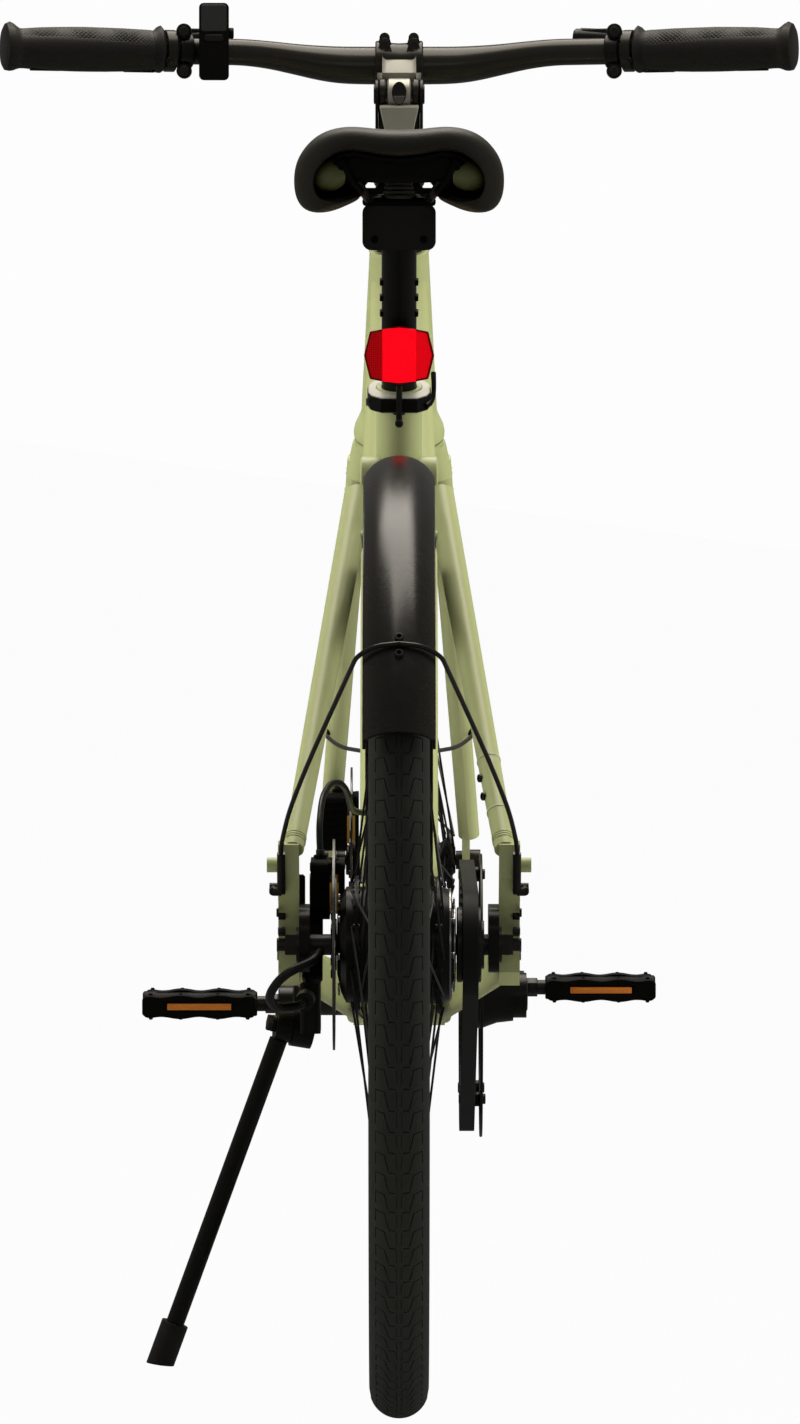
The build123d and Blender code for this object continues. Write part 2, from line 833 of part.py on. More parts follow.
hose_radius = 2.5
with BuildPart() as rear_brake_hose:
    port = on_seat_tube(155)
    rear_hose_route = [
        Vector(-60, 64, tyre_radius + 62.9),
        Vector(-61, 72, tyre_radius + 84),
        Vector(-59, 100, tyre_radius + 106),
        Vector(-53, 148, tyre_radius + 115),
        Vector(-46, 206, tyre_radius + 113),
        Vector(-41, 260, tyre_radius + 104),
        Vector(-39, 308, tyre_radius + 93),
        Vector(-37, 352, tyre_radius + 82),
        Vector(-8, port.Y, port.Z),
    ]
    tightest = hose(rear_hose_route, hose_radius)
    add(frame_outline, mode=Mode.SUBTRACT)
    print("rear brake hose, tightest bend", round(tightest, 1))
rear_brake_hose.part.label = "rear_brake_hose"

cable_radius = 3.5
with BuildPart() as motor_cable:
    cable_route = [
        Vector(-60, -8.2, tyre_radius - 5),
        Vector(-64, -30, tyre_radius - 10),
        Vector(-87, -37, tyre_radius - 20),
        Vector(-99, -24, tyre_radius - 37),
        Vector(-94, 0, tyre_radius - 48),
        Vector(-76, 16, tyre_radius - 48),
        Vector(-72, 34, tyre_radius - 46),
    ]
    tightest = hose(cable_route, cable_radius)
    print("motor cable, tightest bend", round(tightest, 1))
    plug = Vector(-72, 33, tyre_radius - 46)
    rod(plug, plug + Vector(1, 30, 1), 7.2)
motor_cable.part.label = "motor_cable"

# ---------------------------------------------------------------- belt drive


def belt_loop(front_radius, rear_radius):
    """Outline of a belt round both pulleys, as a filled sketch."""
    with BuildSketch(Plane.YZ.offset(belt_line - belt_width / 2)) as loop:
        with Locations((bb.Y, bb.Z)):
            Circle(front_radius)
        with Locations((0, tyre_radius)):
            Circle(rear_radius)
        make_hull()
    return loop.sketch


with BuildPart() as belt:
    extrude(belt_loop(front_belt_radius, rear_belt_radius), amount=belt_width)
    inside = belt_loop(front_belt_radius - belt_thickness, rear_belt_radius - belt_thickness)
    extrude(inside, amount=belt_width, mode=Mode.SUBTRACT)
belt.part.label = "belt"

ring_radius = front_belt_radius - belt_thickness - fit_gap
ring_inner = ring_radius - 17
guard_radius = front_belt_radius + 5.0
guard_inner_x = belt_line + belt_width / 2 + 4
arm_inner_x = belt_line + 2.0
with BuildPart() as belt_ring:
    drum(bb, belt_line - 5.5, belt_line + 5.5, ring_radius)
    drum(bb, belt_line - 6, belt_line + 6, ring_inner, mode=Mode.SUBTRACT)
    drum(bb, guard_inner_x, guard_inner_x + 2.5, guard_radius)
    drum(bb, guard_inner_x - 1, guard_inner_x + 3, ring_inner + 4, mode=Mode.SUBTRACT)
    for arm in range(5):
        turn = math.radians(72 * arm + 18)
        tip = Vector(0, math.cos(turn), math.sin(turn))
        at_ring = bb + tip * (ring_inner + 7) + across * (belt_line + 5.4)
        rod(at_ring, at_ring + across * (guard_inner_x - belt_line - 5.3), 5.0)
        plane = Plane(origin=bb + across * (belt_line - 3), x_dir=tip, z_dir=across)
        with BuildSketch(plane) as spider:
            with Locations(((ring_inner + 24) / 2, 0)):
                Rectangle(ring_inner - 18, 15)
        extrude(spider.sketch, amount=7)
    drum(bb, belt_line - 3, belt_line + 4, 30.0)
    drum(bb, belt_line - 4, belt_line + 5, crank_axle_radius + 0.1, mode=Mode.SUBTRACT)
belt_ring.part.label = "belt_ring"

crank_turn = math.radians(crank_tilt)
crank_reach = Vector(0, math.cos(crank_turn), -math.sin(crank_turn)) * crank_length


def crank_arm(face, side):
    """Crank arm whose outer face is at a distance to the right, tapering to the pedal."""
    pedal_end = crank_reach * side
    plane = Plane(
        origin=bb + across * (face - crank_thickness * side),
        x_dir=crank_reach.normalized() * side,
        z_dir=across * side,
    )
    with BuildSketch(plane) as blade:
        Circle(18)
        with Locations((crank_length, 0)):
            Circle(15)
        make_hull()
    extrude(blade.sketch, amount=crank_thickness)
    spindle = bb + pedal_end + across * face
    shoulder = spindle + across * (side * spindle_shoulder)
    spindle_end = spindle + across * (side * (pedal_start + pedal_length - 6))
    rod(spindle, shoulder, 8.0)
    rod(shoulder, spindle_end, pedal_spindle_radius)


with BuildPart() as crank_left:
    crank_arm(left_crank_face, -1)
crank_left.part.label = "crank_left"

with BuildPart() as crank_right:
    crank_arm(right_crank_face, 1)
    drum(bb, belt_line + 4.2, right_crank_face - crank_thickness, 22.0)
    inner_face = belt_line + 4.2
    drum(bb, inner_face - 1, right_crank_face - 4, crank_axle_radius + 0.1, mode=Mode.SUBTRACT)
crank_right.part.label = "crank_right"

with BuildPart() as crank_axle:
    left_inner = left_crank_face + crank_thickness
    drum(bb, left_inner + 0.1, right_crank_face - 4.2, crank_axle_radius)
    drum(bb, left_inner + 0.1, -bb_shell_width / 2 - 0.5, 16.0)
crank_axle.part.label = "crank_axle"


def pedal(face, side):
    """Pedal body: a barrel on the spindle in a frame with two long openings."""
    start = face + side * pedal_start
    centre = bb + crank_reach * side
    middle = centre + across * (start + side * pedal_length / 2)
    with BuildSketch(Plane(origin=middle, x_dir=across, z_dir=(0, 0, 1))) as outline:
        RectangleRounded(pedal_length, pedal_depth, 9)
        Rectangle(pedal_length - 22, 30, mode=Mode.SUBTRACT)
        with GridLocations(0, pedal_depth - 20, 1, 2):
            Rectangle(pedal_length - 22, 8, mode=Mode.SUBTRACT)
    extrude(outline.sketch, amount=pedal_height / 2, both=True)
    rod(centre + across * start, centre + across * (start + side * pedal_length), 9.5)
    rod(
        centre + across * (start - side),
        centre + across * (start + side * (pedal_length - 5.5)),
        pedal_spindle_radius + pin_gap,
        mode=Mode.SUBTRACT,
    )


with BuildPart() as pedal_left:
    pedal(left_crank_face, -1)
pedal_left.part.label = "pedal_left"

with BuildPart() as pedal_right:
    pedal(right_crank_face, 1)
pedal_right.part.label = "pedal_right"

# ---------------------------------------------------------------- side stand

lean = math.radians(lean_angle)
parked_axle_height = tyre_core * math.cos(lean) + tyre_width / 2
floor_up = Vector(math.sin(lean), 0, math.cos(lean))
floor_point = rear_axle - floor_up * parked_axle_height

stand_pivot = Vector(-82, 112, tyre_radius - 70)
stand_axis = Vector(-1, -0.15, 0.176).normalized()
stand_head = stand_pivot + stand_axis * 6.5
leg_dir = Vector(-104, 20, -286).normalized()
leg_reach = (stand_head - floor_point).dot(floor_up) / -leg_dir.dot(floor_up)
leg_end = stand_head + leg_dir * leg_reach
foot_length = 34.0

with BuildPart() as stand_bracket:
    rod(stand_pivot - stand_axis * 16, stand_pivot, 15.0)
    with BuildSketch(Plane(origin=(-82, 112, tyre_radius - 74), z_dir=(0, 0, 1))) as plate:
        with Locations((14, 0)):
            RectangleRounded(16, 52, 4)
    extrude(plate.sketch, amount=80)
    add(rear_triangle.part, mode=Mode.SUBTRACT)
    rod(stand_pivot, stand_pivot + stand_axis * 13, 5.0)
    rod(stand_pivot + stand_axis * 13.3, stand_pivot + stand_axis * 16, 6.5)
    rod(stand_pivot + stand_axis * 12, stand_pivot + stand_axis * 14, 5.0)
stand_bracket.part.label = "stand_bracket"

with BuildPart() as stand_leg:
    rod(stand_pivot + stand_axis * 0.4, stand_pivot + stand_axis * 12.9, 13.0)
    rod(stand_head + leg_dir * 12, leg_end - leg_dir * (foot_length - 6), stand_leg_radius)
    rod(
        stand_pivot - stand_axis,
        stand_pivot + stand_axis * 14,
        5.0 + pin_gap,
        mode=Mode.SUBTRACT,
    )
stand_leg.part.label = "stand_leg"

with BuildPart() as stand_foot:
    rod(leg_end - leg_dir * foot_length, leg_end + leg_dir * 12, 10.5)
    with BuildSketch(Plane(origin=floor_point, z_dir=-floor_up)) as below:
        Rectangle(1200, 1200)
    extrude(below.sketch, amount=60, mode=Mode.SUBTRACT)
    add(stand_leg.part, mode=Mode.SUBTRACT)
stand_foot.part.label = "stand_foot"

# ---------------------------------------------------------------- fork and front end

crown_high = head_tube_low - 0.4
fork_top = Vector(33.5, 0, 392)
leg_low = Vector(60, 40, 26)
with BuildPart() as fork:
    with BuildSketch(steering_plane(crown_low)) as crown_foot_outline:
        SlotOverall(crown_width, crown_depth)
    with BuildSketch(steering_plane(crown_high - moving_gap)) as crown_top_outline:
        SlotOverall(crown_top_width, crown_depth)
    loft([crown_foot_outline.sketch, crown_top_outline.sketch])
    rod(on_steering(0, 0, crown_low), on_steering(0, 0, crown_high), head_tube_radius - 1)
    rod(on_steering(0, 0, crown_low), on_steering(0, 0, head_tube_high + 56), steerer_radius)
    for side in (-1, 1):
        top = on_steering(side * fork_top.X, fork_top.Y, fork_top.Z)
        low = on_steering(side * leg_low.X, leg_low.Y, leg_low.Z)
        taper(top, low, 10.0, 9.0)
        with BuildSketch(Plane.YZ.offset(side * fork_face)) as fork_end:
            with Locations((front_axle.Y, front_axle.Z)):
                Circle(16)
            with Locations((low.Y - 4, low.Z + 22)):
                Circle(10)
            make_hull()
            with Locations((front_axle.Y, front_axle.Z)):
                Circle(front_axle_radius + 0.1, mode=Mode.SUBTRACT)
        extrude(fork_end.sketch, amount=side * (60.7 - fork_face))
fork.part.label = "fork"

with BuildPart() as front_axle_set:
    drum(front_axle, -66, 66, front_axle_radius)
    drum(front_axle, -66, -60.8, 9.0)
    drum(front_axle, 60.8, 70, 9.0)
    for side in (-1, 1):
        inner = front_flanges[1] + 5.3 if side > 0 else -front_rotor_side + 5.3
        drum(front_axle, side * inner, side * (fork_face - 0.2), 8.0)
front_axle_set.part.label = "front_axle"

with BuildPart() as front_brake_caliper:
    caliper(
        Vector(-66, wheelbase - 92, tyre_radius + 12),
        Vector(-34.5, wheelbase - 34, tyre_radius + 62),
        front_rotor_side,
        front_axle,
    )
    add(fork.part, mode=Mode.SUBTRACT)
front_brake_caliper.part.label = "front_brake_caliper"

front_guard_back = 166.0
front_guard_front = 52.0
with BuildPart() as front_mudguard:
    mudguard(front_axle, front_guard_front, front_guard_back)
    crown_foot = on_steering(0, 0, crown_low - fit_gap)
    crown_angle = math.degrees(
        math.atan2(crown_foot.Z - front_axle.Z, crown_foot.Y - front_axle.Y)
    )
    rod(around(front_axle, mudguard_radius - 1, crown_angle), crown_foot, 6.0)
    add(fork.part, mode=Mode.SUBTRACT)
front_mudguard.part.label = "front_mudguard"

with BuildPart() as front_mudguard_stay:
    for side in (-1, 1):
        tail = around(front_axle, mudguard_radius - 16, front_guard_back - 4, side * 28.6)
        knee = Vector(side * 50, wheelbase - 190, tyre_radius + 106)
        hook = Vector(side * 66, wheelbase - 66, tyre_radius + 113)
        hose([tail, knee, hook], wire_radius)
        rod(hook, Vector(side * 54, wheelbase - 64, tyre_radius + 113), 3.0)
    add(fork.part, mode=Mode.SUBTRACT)
front_mudguard_stay.part.label = "front_mudguard_stay"

with BuildPart() as headlight:
    lamp_foot = on_steering(0, 14, 392)
    lamp_back = on_steering(0, 52, 414)
    rod(lamp_foot, lamp_back, 6.5)
    lamp_plane = Plane(origin=lamp_back, x_dir=across, z_dir=(0, 1, 0))
    with BuildSketch(lamp_plane) as lamp_body:
        RectangleRounded(46, 34, 10)
    extrude(lamp_body.sketch, amount=44)
    add(fork.part, mode=Mode.SUBTRACT)
headlight.part.label = "headlight"

# ---------------------------------------------------------------- cockpit

spacer_top = head_tube_high + 56
with BuildPart() as headset_spacers:
    rod(on_steering(0, 0, head_tube_high + 0.4), on_steering(0, 0, spacer_top), 18.0)
    rod(
        on_steering(0, 0, head_tube_high),
        on_steering(0, 0, spacer_top + 1),
        steerer_radius + 0.1,
        mode=Mode.SUBTRACT,
    )
headset_spacers.part.label = "headset_spacers"

stem_hinge_up = 716.0
with BuildPart() as stem:
    with BuildSketch(steering_plane(spacer_top + 0.1)) as stem_foot:
        Circle(21)
    with BuildSketch(steering_plane(stem_hinge_up - 22)) as stem_top:
        RectangleRounded(30, 34, 8)
    loft([stem_foot.sketch, stem_top.sketch])
    rod(on_steering(0, 0, stem_hinge_up - 22), on_steering(0, 0, stem_hinge_up - 10), 14.5)
    rod(
        on_steering(-22, 0, stem_hinge_up), on_steering(22, 0, stem_hinge_up), 14.0
    )
    rod(on_steering(0, 8, stem_hinge_up), on_steering(0, bar_out - 20, bar_up), 14.5)
    bar_centre = on_steering(0, bar_out, bar_up)
    rod(bar_centre - across * 22, bar_centre + across * 22, bar_clamp_radius + 6)
    rod(
        bar_centre - across * 30,
        bar_centre + across * 30,
        bar_clamp_radius + 0.1,
        mode=Mode.SUBTRACT,
    )
stem.part.label = "stem"

bar_bend = Vector(48, 0, 0)
bar_shoulder = Vector(136, -18, 11.0)
bar_tip = Vector(bar_half_width, -68, 13.5)
grip_dir = (bar_tip - bar_shoulder).normalized()
bar_run = (bar_shoulder - bar_bend).normalized()
bar_swage = 52.0
with BuildPart() as handlebar:
    left_half = [bar_centre + spread(point, -1) for point in (bar_tip, bar_shoulder, bar_bend)]
    right_half = [bar_centre + point for point in (bar_bend, bar_shoulder, bar_tip)]
    hose(left_half + right_half, bar_grip_radius, bend_share=0.1)
    rod(bar_centre - bar_bend, bar_centre + bar_bend, bar_clamp_radius)
    for side in (-1, 1):
        bend = bar_centre + spread(bar_bend, side)
        outward = spread(bar_run, side)
        with BuildSketch(Plane(origin=bend, z_dir=across * side)) as swage_start:
            Circle(bar_clamp_radius)
        with BuildSketch(Plane(origin=bend + outward * bar_swage, z_dir=outward)) as swage_end:
            Circle(bar_grip_radius + 0.4)
        loft([swage_start.sketch, swage_end.sketch])
handlebar.part.label = "handlebar"


def on_bar(distance_in, side):
    """Point on the handlebar's grip line, this far in from its end."""
    return bar_centre + spread(bar_tip - grip_dir * distance_in, side)


def grip(side):
    """Rubber grip with a flared end and a closed cap."""
    outward = spread(grip_dir, side)
    inner = on_bar(grip_length, side)
    middle = on_bar(grip_length * 0.45, side)
    outer = on_bar(0, side) + outward * 1.5
    taper(inner, middle, grip_radius - 1.5, grip_radius)
    taper(middle, outer, grip_radius, grip_radius + 0.5)
    rod(inner - outward, on_bar(0, side) + outward * 0.1, bar_grip_radius + 0.05, Mode.SUBTRACT)


def brake_lever(side):
    """Clamp round the bar, the body ahead of it and the blade in front of the grip."""
    inner = on_bar(grip_length + 24, side)
    outer = on_bar(grip_length + 8, side)
    rod(inner, outer, 16.5)
    outward = spread(grip_dir, side)
    middle = (inner + outer) * 0.5
    body_start = middle - outward * 34 + Vector(0, 31, 9)
    body_end = middle + outward * 12 + Vector(0, 33, 6)
    rod(middle + Vector(0, 8, 2), middle + Vector(0, 28, 8), 8.0)
    rod(body_start, body_end, 9.0)
    blade_knee = body_end + outward * 62 + Vector(0, 17, -6)
    blade_tip = body_end + outward * 112 + Vector(0, 12, -12)
    blade = blade_tip + outward * 5
    rod(body_end - outward * 4, blade_knee, 4.5)
    rod(blade_knee - outward, blade, 4.5)
    rod(inner - outward * 20, outer + outward * 20, bar_grip_radius + 0.05, Mode.SUBTRACT)


with BuildPart() as grip_left:
    grip(-1)
grip_left.part.label = "grip_left"

with BuildPart() as grip_right:
    grip(1)
grip_right.part.label = "grip_right"

with BuildPart() as brake_lever_left:
    brake_lever(-1)
brake_lever_left.part.label = "brake_lever_left"

with BuildPart() as brake_lever_right:
    brake_lever(1)
brake_lever_right.part.label = "brake_lever_right"

with BuildPart() as display:
    display_bar = on_bar(bar_half_width - 149, -1)
    with BuildSketch(Plane.YZ.offset(display_bar.X - 12.5)) as display_side:
        with Locations((display_bar.Y - 22.0, display_bar.Z + 8)):
            RectangleRounded(12, 64, 4)
    extrude(display_side.sketch, amount=25)
    along_bar = spread(grip_dir, -1)
    rod(display_bar - along_bar * 10, display_bar + along_bar * 10, bar_grip_radius + 4)
    rod(
        display_bar - along_bar * 40,
        display_bar + along_bar * 40,
        bar_grip_radius + 0.4,
        Mode.SUBTRACT,
    )
display.part.label = "display"

# ---------------------------------------------------------------- parked on the stand

pieces = [
    rear_tyre, rear_rim, rear_spokes, hub_motor, rear_rotor, rear_cog,
    front_tyre, front_rim, front_spokes, front_hub, front_rotor,
    main_frame, battery, rear_triangle, rack_bosses, dropout_plates, rear_axle_set,
    seat_clamp, seat_post, saddle_cover, saddle_shell, saddle_rails, saddle_clamp,
    rear_reflector, rear_mudguard, rear_mudguard_stay,
    rear_brake_caliper, rear_brake_hose, motor_cable,
    belt, belt_ring, crank_left, crank_right, crank_axle, pedal_left, pedal_right,
    stand_bracket, stand_leg, stand_foot,
    fork, front_axle_set, front_brake_caliper, front_mudguard, front_mudguard_stay,
    headlight, headset_spacers, stem, handlebar, grip_left, grip_right,
    brake_lever_left, brake_lever_right, display,
]

leaned = (
    Location((0, 0, parked_axle_height))
    * Location((0, 0, 0), (0, -lean_angle, 0))
    * Location((0, 0, -tyre_radius))
)
boxes = [piece.part.moved(leaned).bounding_box() for piece in pieces]
middle_x = (min(box.min.X for box in boxes) + max(box.max.X for box in boxes)) / 2
middle_y = (min(box.min.Y for box in boxes) + max(box.max.Y for box in boxes)) / 2
parked = Location((-middle_x, -middle_y, 0)) * leaned

for piece in pieces:
    export_step(piece.part.moved(parked), f"parts/{piece.part.label}.step")
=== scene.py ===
"""Looks of a belt-drive electric bicycle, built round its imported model.

New pieces are drawn in millimetres on an upright bicycle: X to its right, Y forward from the rear
axle, Z up from the ground. PARK then leans them onto the side stand, where the model stands."""
import json
import math

import bmesh
import bpy
from mathutils import Matrix, Vector


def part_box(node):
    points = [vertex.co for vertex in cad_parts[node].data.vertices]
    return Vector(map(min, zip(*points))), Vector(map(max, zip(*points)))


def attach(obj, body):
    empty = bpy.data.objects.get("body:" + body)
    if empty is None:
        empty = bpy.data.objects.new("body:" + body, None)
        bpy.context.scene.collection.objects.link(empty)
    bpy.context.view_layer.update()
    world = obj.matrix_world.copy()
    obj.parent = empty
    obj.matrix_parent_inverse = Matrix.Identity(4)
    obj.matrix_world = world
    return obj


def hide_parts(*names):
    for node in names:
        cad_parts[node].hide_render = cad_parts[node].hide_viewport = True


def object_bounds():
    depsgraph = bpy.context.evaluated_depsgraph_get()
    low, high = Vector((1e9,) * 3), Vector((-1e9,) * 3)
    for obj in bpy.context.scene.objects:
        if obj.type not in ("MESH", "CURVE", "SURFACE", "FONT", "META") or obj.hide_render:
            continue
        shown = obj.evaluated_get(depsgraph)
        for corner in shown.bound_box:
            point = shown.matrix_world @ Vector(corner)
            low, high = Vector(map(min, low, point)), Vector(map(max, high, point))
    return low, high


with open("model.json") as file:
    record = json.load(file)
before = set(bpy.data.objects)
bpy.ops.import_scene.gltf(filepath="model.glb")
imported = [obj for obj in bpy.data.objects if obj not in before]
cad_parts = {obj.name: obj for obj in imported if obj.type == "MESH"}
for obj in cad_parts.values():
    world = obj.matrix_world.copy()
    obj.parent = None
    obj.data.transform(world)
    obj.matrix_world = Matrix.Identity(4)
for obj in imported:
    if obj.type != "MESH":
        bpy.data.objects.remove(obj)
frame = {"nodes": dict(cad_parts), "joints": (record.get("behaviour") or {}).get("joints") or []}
cad_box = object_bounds()

# ---------------------------------------------------------------- where things are

X = Vector((1, 0, 0))
Y = Vector((0, 1, 0))
Z = Vector((0, 0, 1))
joints = {joint["name"]: joint for joint in frame["joints"]}
tyre_low, tyre_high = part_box("rear_tyre")
TYRE_RADIUS = (tyre_high.y - tyre_low.y) * 500
TYRE_WIDTH = 45.0
TYRE_CORE = TYRE_RADIUS - TYRE_WIDTH / 2
SIDES = (-1, 1)


def parked_matrix():
    """Matrix from the upright bicycle in millimetres to the leaning one in metres."""
    across = Vector(joints["rear_wheel_spin"]["axis"])
    leaned = Matrix((across, Y, across.cross(Y))).transposed().to_4x4()
    axle = Matrix.Translation(joints["rear_wheel_spin"]["pos_m"])
    return axle @ leaned @ Matrix.Scale(0.001, 4) @ Matrix.Translation((0, 0, -TYRE_RADIUS))


PARK = parked_matrix()
LEAN = math.asin(joints["rear_wheel_spin"]["axis"][2])


def upright(joint_name):
    """A joint's point on the upright bicycle, in millimetres."""
    return PARK.inverted() @ Vector(joints[joint_name]["pos_m"])


def upright_axis(joint_name):
    """A joint's direction on the upright bicycle."""
    return (PARK.inverted().to_3x3() @ Vector(joints[joint_name]["axis"])).normalized()


REAR_AXLE = Vector((0, 0, TYRE_RADIUS))
FRONT_AXLE = upright("front_wheel_spin")
BB = upright("crank_spin")
STEER_UP = upright_axis("steering_turn")
STEER_OUT = STEER_UP.cross(X).normalized()
STEER_OUT = STEER_OUT if STEER_OUT.y > 0 else -STEER_OUT
FORK_RAKE = 45.0
STEER_FOOT = FRONT_AXLE - STEER_OUT * FORK_RAKE
SEAT_TILT = math.radians(71.5)
SEAT_UP = Vector((0, -math.cos(SEAT_TILT), math.sin(SEAT_TILT)))
SEAT_BACK = Vector((0, -math.sin(SEAT_TILT), -math.cos(SEAT_TILT)))


def on_steering(x, out, up):
    """Point of the steering: right of its axis, ahead of it, and up along it."""
    return STEER_FOOT + X * x + STEER_OUT * out + STEER_UP * up


def on_seat_tube(up, back=0.0, x=0.0):
    """Point up the seat tube's line from the bottom bracket, and behind that line."""
    return BB + SEAT_UP * up + SEAT_BACK * back + X * x


def around(centre, radius, degrees, x=0.0):
    """Point at a distance from an axle, at an angle above the forward level."""
    turn = math.radians(degrees)
    return centre + Vector((x, radius * math.cos(turn), radius * math.sin(turn)))


def mirrored(point, side):
    """The point on the right, or its mirror image on the left when side is -1."""
    return Vector((point[0] * side, point[1], point[2]))


# ---------------------------------------------------------------- modelling

SHARP = math.radians(50.0)
POLE_WELD = 0.01


def aimed(origin, axis):
    """Matrix that puts local Z along an axis at an origin."""
    return Matrix.Translation(origin) @ Vector(axis).to_track_quat("Z", "Y").to_matrix().to_4x4()


def along_x(origin):
    """Matrix whose local Z runs along the bicycle's X, local X along its Y."""
    return Matrix.Translation(origin) @ Matrix(((0, 0, 1), (1, 0, 0), (0, 1, 0))).to_4x4()


def oriented(x_dir, y_dir, z_dir, origin=(0, 0, 0)):
    """Matrix from three directions and an origin."""
    return Matrix.Translation(origin) @ Matrix((x_dir, y_dir, z_dir)).transposed().to_4x4()


def polar(radius, turn, centre=(0, 0)):
    """Flat point at a distance from a centre, at an angle in radians."""
    return centre[0] + radius * math.cos(turn), centre[1] + radius * math.sin(turn)


def ring_of(count, radius):
    """Points evenly round a circle."""
    return [polar(radius, math.tau * index / count) for index in range(count)]


def arc_points(radius, start, end, count, centre=(0, 0)):
    """Points along an arc in degrees."""
    turns = [math.radians(start + (end - start) * step / (count - 1)) for step in range(count)]
    return [polar(radius, turn, centre) for turn in turns]


def rounded(corner_x, corner_y, radius, count):
    """Outline of a rectangle with rounded corners, given the first corner's centre."""
    outline = []
    for right, up, first in ((1, 1, 0), (-1, 1, 90), (-1, -1, 180), (1, -1, 270)):
        outline += arc_points(radius, first, first + 90, count, (right * corner_x, up * corner_y))
    return outline


def faces_of(verts):
    """Faces that meet at these vertices, each once and always in the same order."""
    return list(dict.fromkeys(face for vert in verts for face in vert.link_faces))


def edges_of(verts):
    """Edges that meet at these vertices, each once and always in the same order."""
    return list(dict.fromkeys(edge for vert in verts for edge in vert.link_edges))


def only(kind, items):
    return [item for item in items if isinstance(item, kind)]


def painted(faces, paint):
    """Give faces one of their piece's materials, by its number."""
    for face in faces:
        face.material_index = paint


def soften(bm, edges, offset, segments=2):
    """Round a set of edges."""
    if offset > 0 and edges:
        bmesh.ops.bevel(
            bm, geom=edges, offset=offset, offset_type="OFFSET", segments=segments,
            profile=0.5, affect="EDGES", material=-1, clamp_overlap=True,
        )


def sharp_edges(verts):
    """Edges among these vertices that turn by more than the sharp angle."""
    return [
        edge for edge in edges_of(verts)
        if len(edge.link_faces) == 2 and edge.calc_face_angle(0.0) > SHARP
    ]


def bar(bm, start, end, radius, end_radius=None, sides=24, rim=0.0, paint=0):
    """Round bar between two points, its end rims rounded."""
    start, end = Vector(start), Vector(end)
    span = end - start
    made = bmesh.ops.create_cone(
        bm, cap_ends=True, segments=sides, radius1=radius,
        radius2=radius if end_radius is None else end_radius, depth=span.length,
        matrix=aimed((start + end) / 2, span),
    )["verts"]
    painted(faces_of(made), paint)
    soften(bm, sharp_edges(made), rim)


def block(bm, centre, size, edge, turn=None, paint=0):
    """Box with rounded edges; turn is a matrix that rotates it about its centre."""
    place = Matrix.Translation(centre) @ (turn.to_4x4() if turn else Matrix.Identity(4))
    made = bmesh.ops.create_cube(
        bm, size=1.0, matrix=place @ Matrix.Diagonal((*size, 1.0))
    )["verts"]
    painted(faces_of(made), paint)
    soften(bm, edges_of(made), edge)


def ball(bm, centre, radius, paint=0, segments=20):
    made = bmesh.ops.create_uvsphere(
        bm, u_segments=segments, v_segments=segments // 2, radius=radius,
        matrix=Matrix.Translation(centre),
    )["verts"]
    painted(faces_of(made), paint)
    return made


def lathe(bm, place, profile, steps=48, paint=0, closed=False):
    """Turn an outline of (along, radius) points about the local Z of a placing matrix."""
    verts = [bm.verts.new(place @ Vector((radius, 0, along))) for along, radius in profile]
    edges = [bm.edges.new(pair) for pair in zip(verts, verts[1:])]
    if closed:
        edges.append(bm.edges.new((verts[-1], verts[0])))
    before = set(bm.faces)
    bmesh.ops.spin(
        bm, geom=verts + edges, cent=place.translation, axis=place.to_3x3().col[2],
        angle=math.tau, steps=steps, use_merge=True,
    )
    made = [face for face in bm.faces if face not in before]
    painted(made, paint)
    corners = list(dict.fromkeys(vert for face in made for vert in face.verts))
    bmesh.ops.remove_doubles(bm, verts=corners, dist=POLE_WELD)


def sleeve(bm, place, bore, radius, length, rim, fall=None, steps=48, paint=0):
    """Ring with chamfered rims: rim is their length along it, fall their depth."""
    low = radius - (rim if fall is None else fall)
    lathe(
        bm, place,
        [(0, bore), (0, low), (rim, radius), (length - rim, radius), (length, low), (length, bore)],
        steps, paint, closed=bore > 0,
    )


def edge_loop(bm, points):
    """Closed line of edges through flat points."""
    verts = [bm.verts.new((x, y, 0)) for x, y in points]
    return [bm.edges.new(pair) for pair in zip(verts, verts[1:] + verts[:1])]


def filled(bm, edges):
    """Fill closed lines with triangles; a line inside another is a hole."""
    made = bmesh.ops.triangle_fill(bm, use_beauty=True, use_dissolve=False, edges=edges)
    return only(bmesh.types.BMFace, made["geom"])


def plate(bm, place, outline, thickness, edge=0.0, holes=(), paint=0, lift=0.0):
    """Flat plate with holes, thick along the local Z of a placing matrix and lifted along it."""
    old = set(bm.verts)
    loops = [line for points in [outline, *holes] for line in edge_loop(bm, points)]
    faces = filled(bm, loops)
    raised = bmesh.ops.extrude_face_region(bm, geom=faces, use_keep_orig=True)["geom"]
    bmesh.ops.translate(bm, verts=only(bmesh.types.BMVert, raised), vec=(0, 0, thickness))
    made = [vert for vert in bm.verts if vert not in old]
    bmesh.ops.recalc_face_normals(bm, faces=faces_of(made))
    soften(bm, sharp_edges(made), edge, 1)
    made = [vert for vert in bm.verts if vert not in old]
    painted(faces_of(made), paint)
    bmesh.ops.transform(bm, matrix=place @ Matrix.Translation((0, 0, lift)), verts=made)


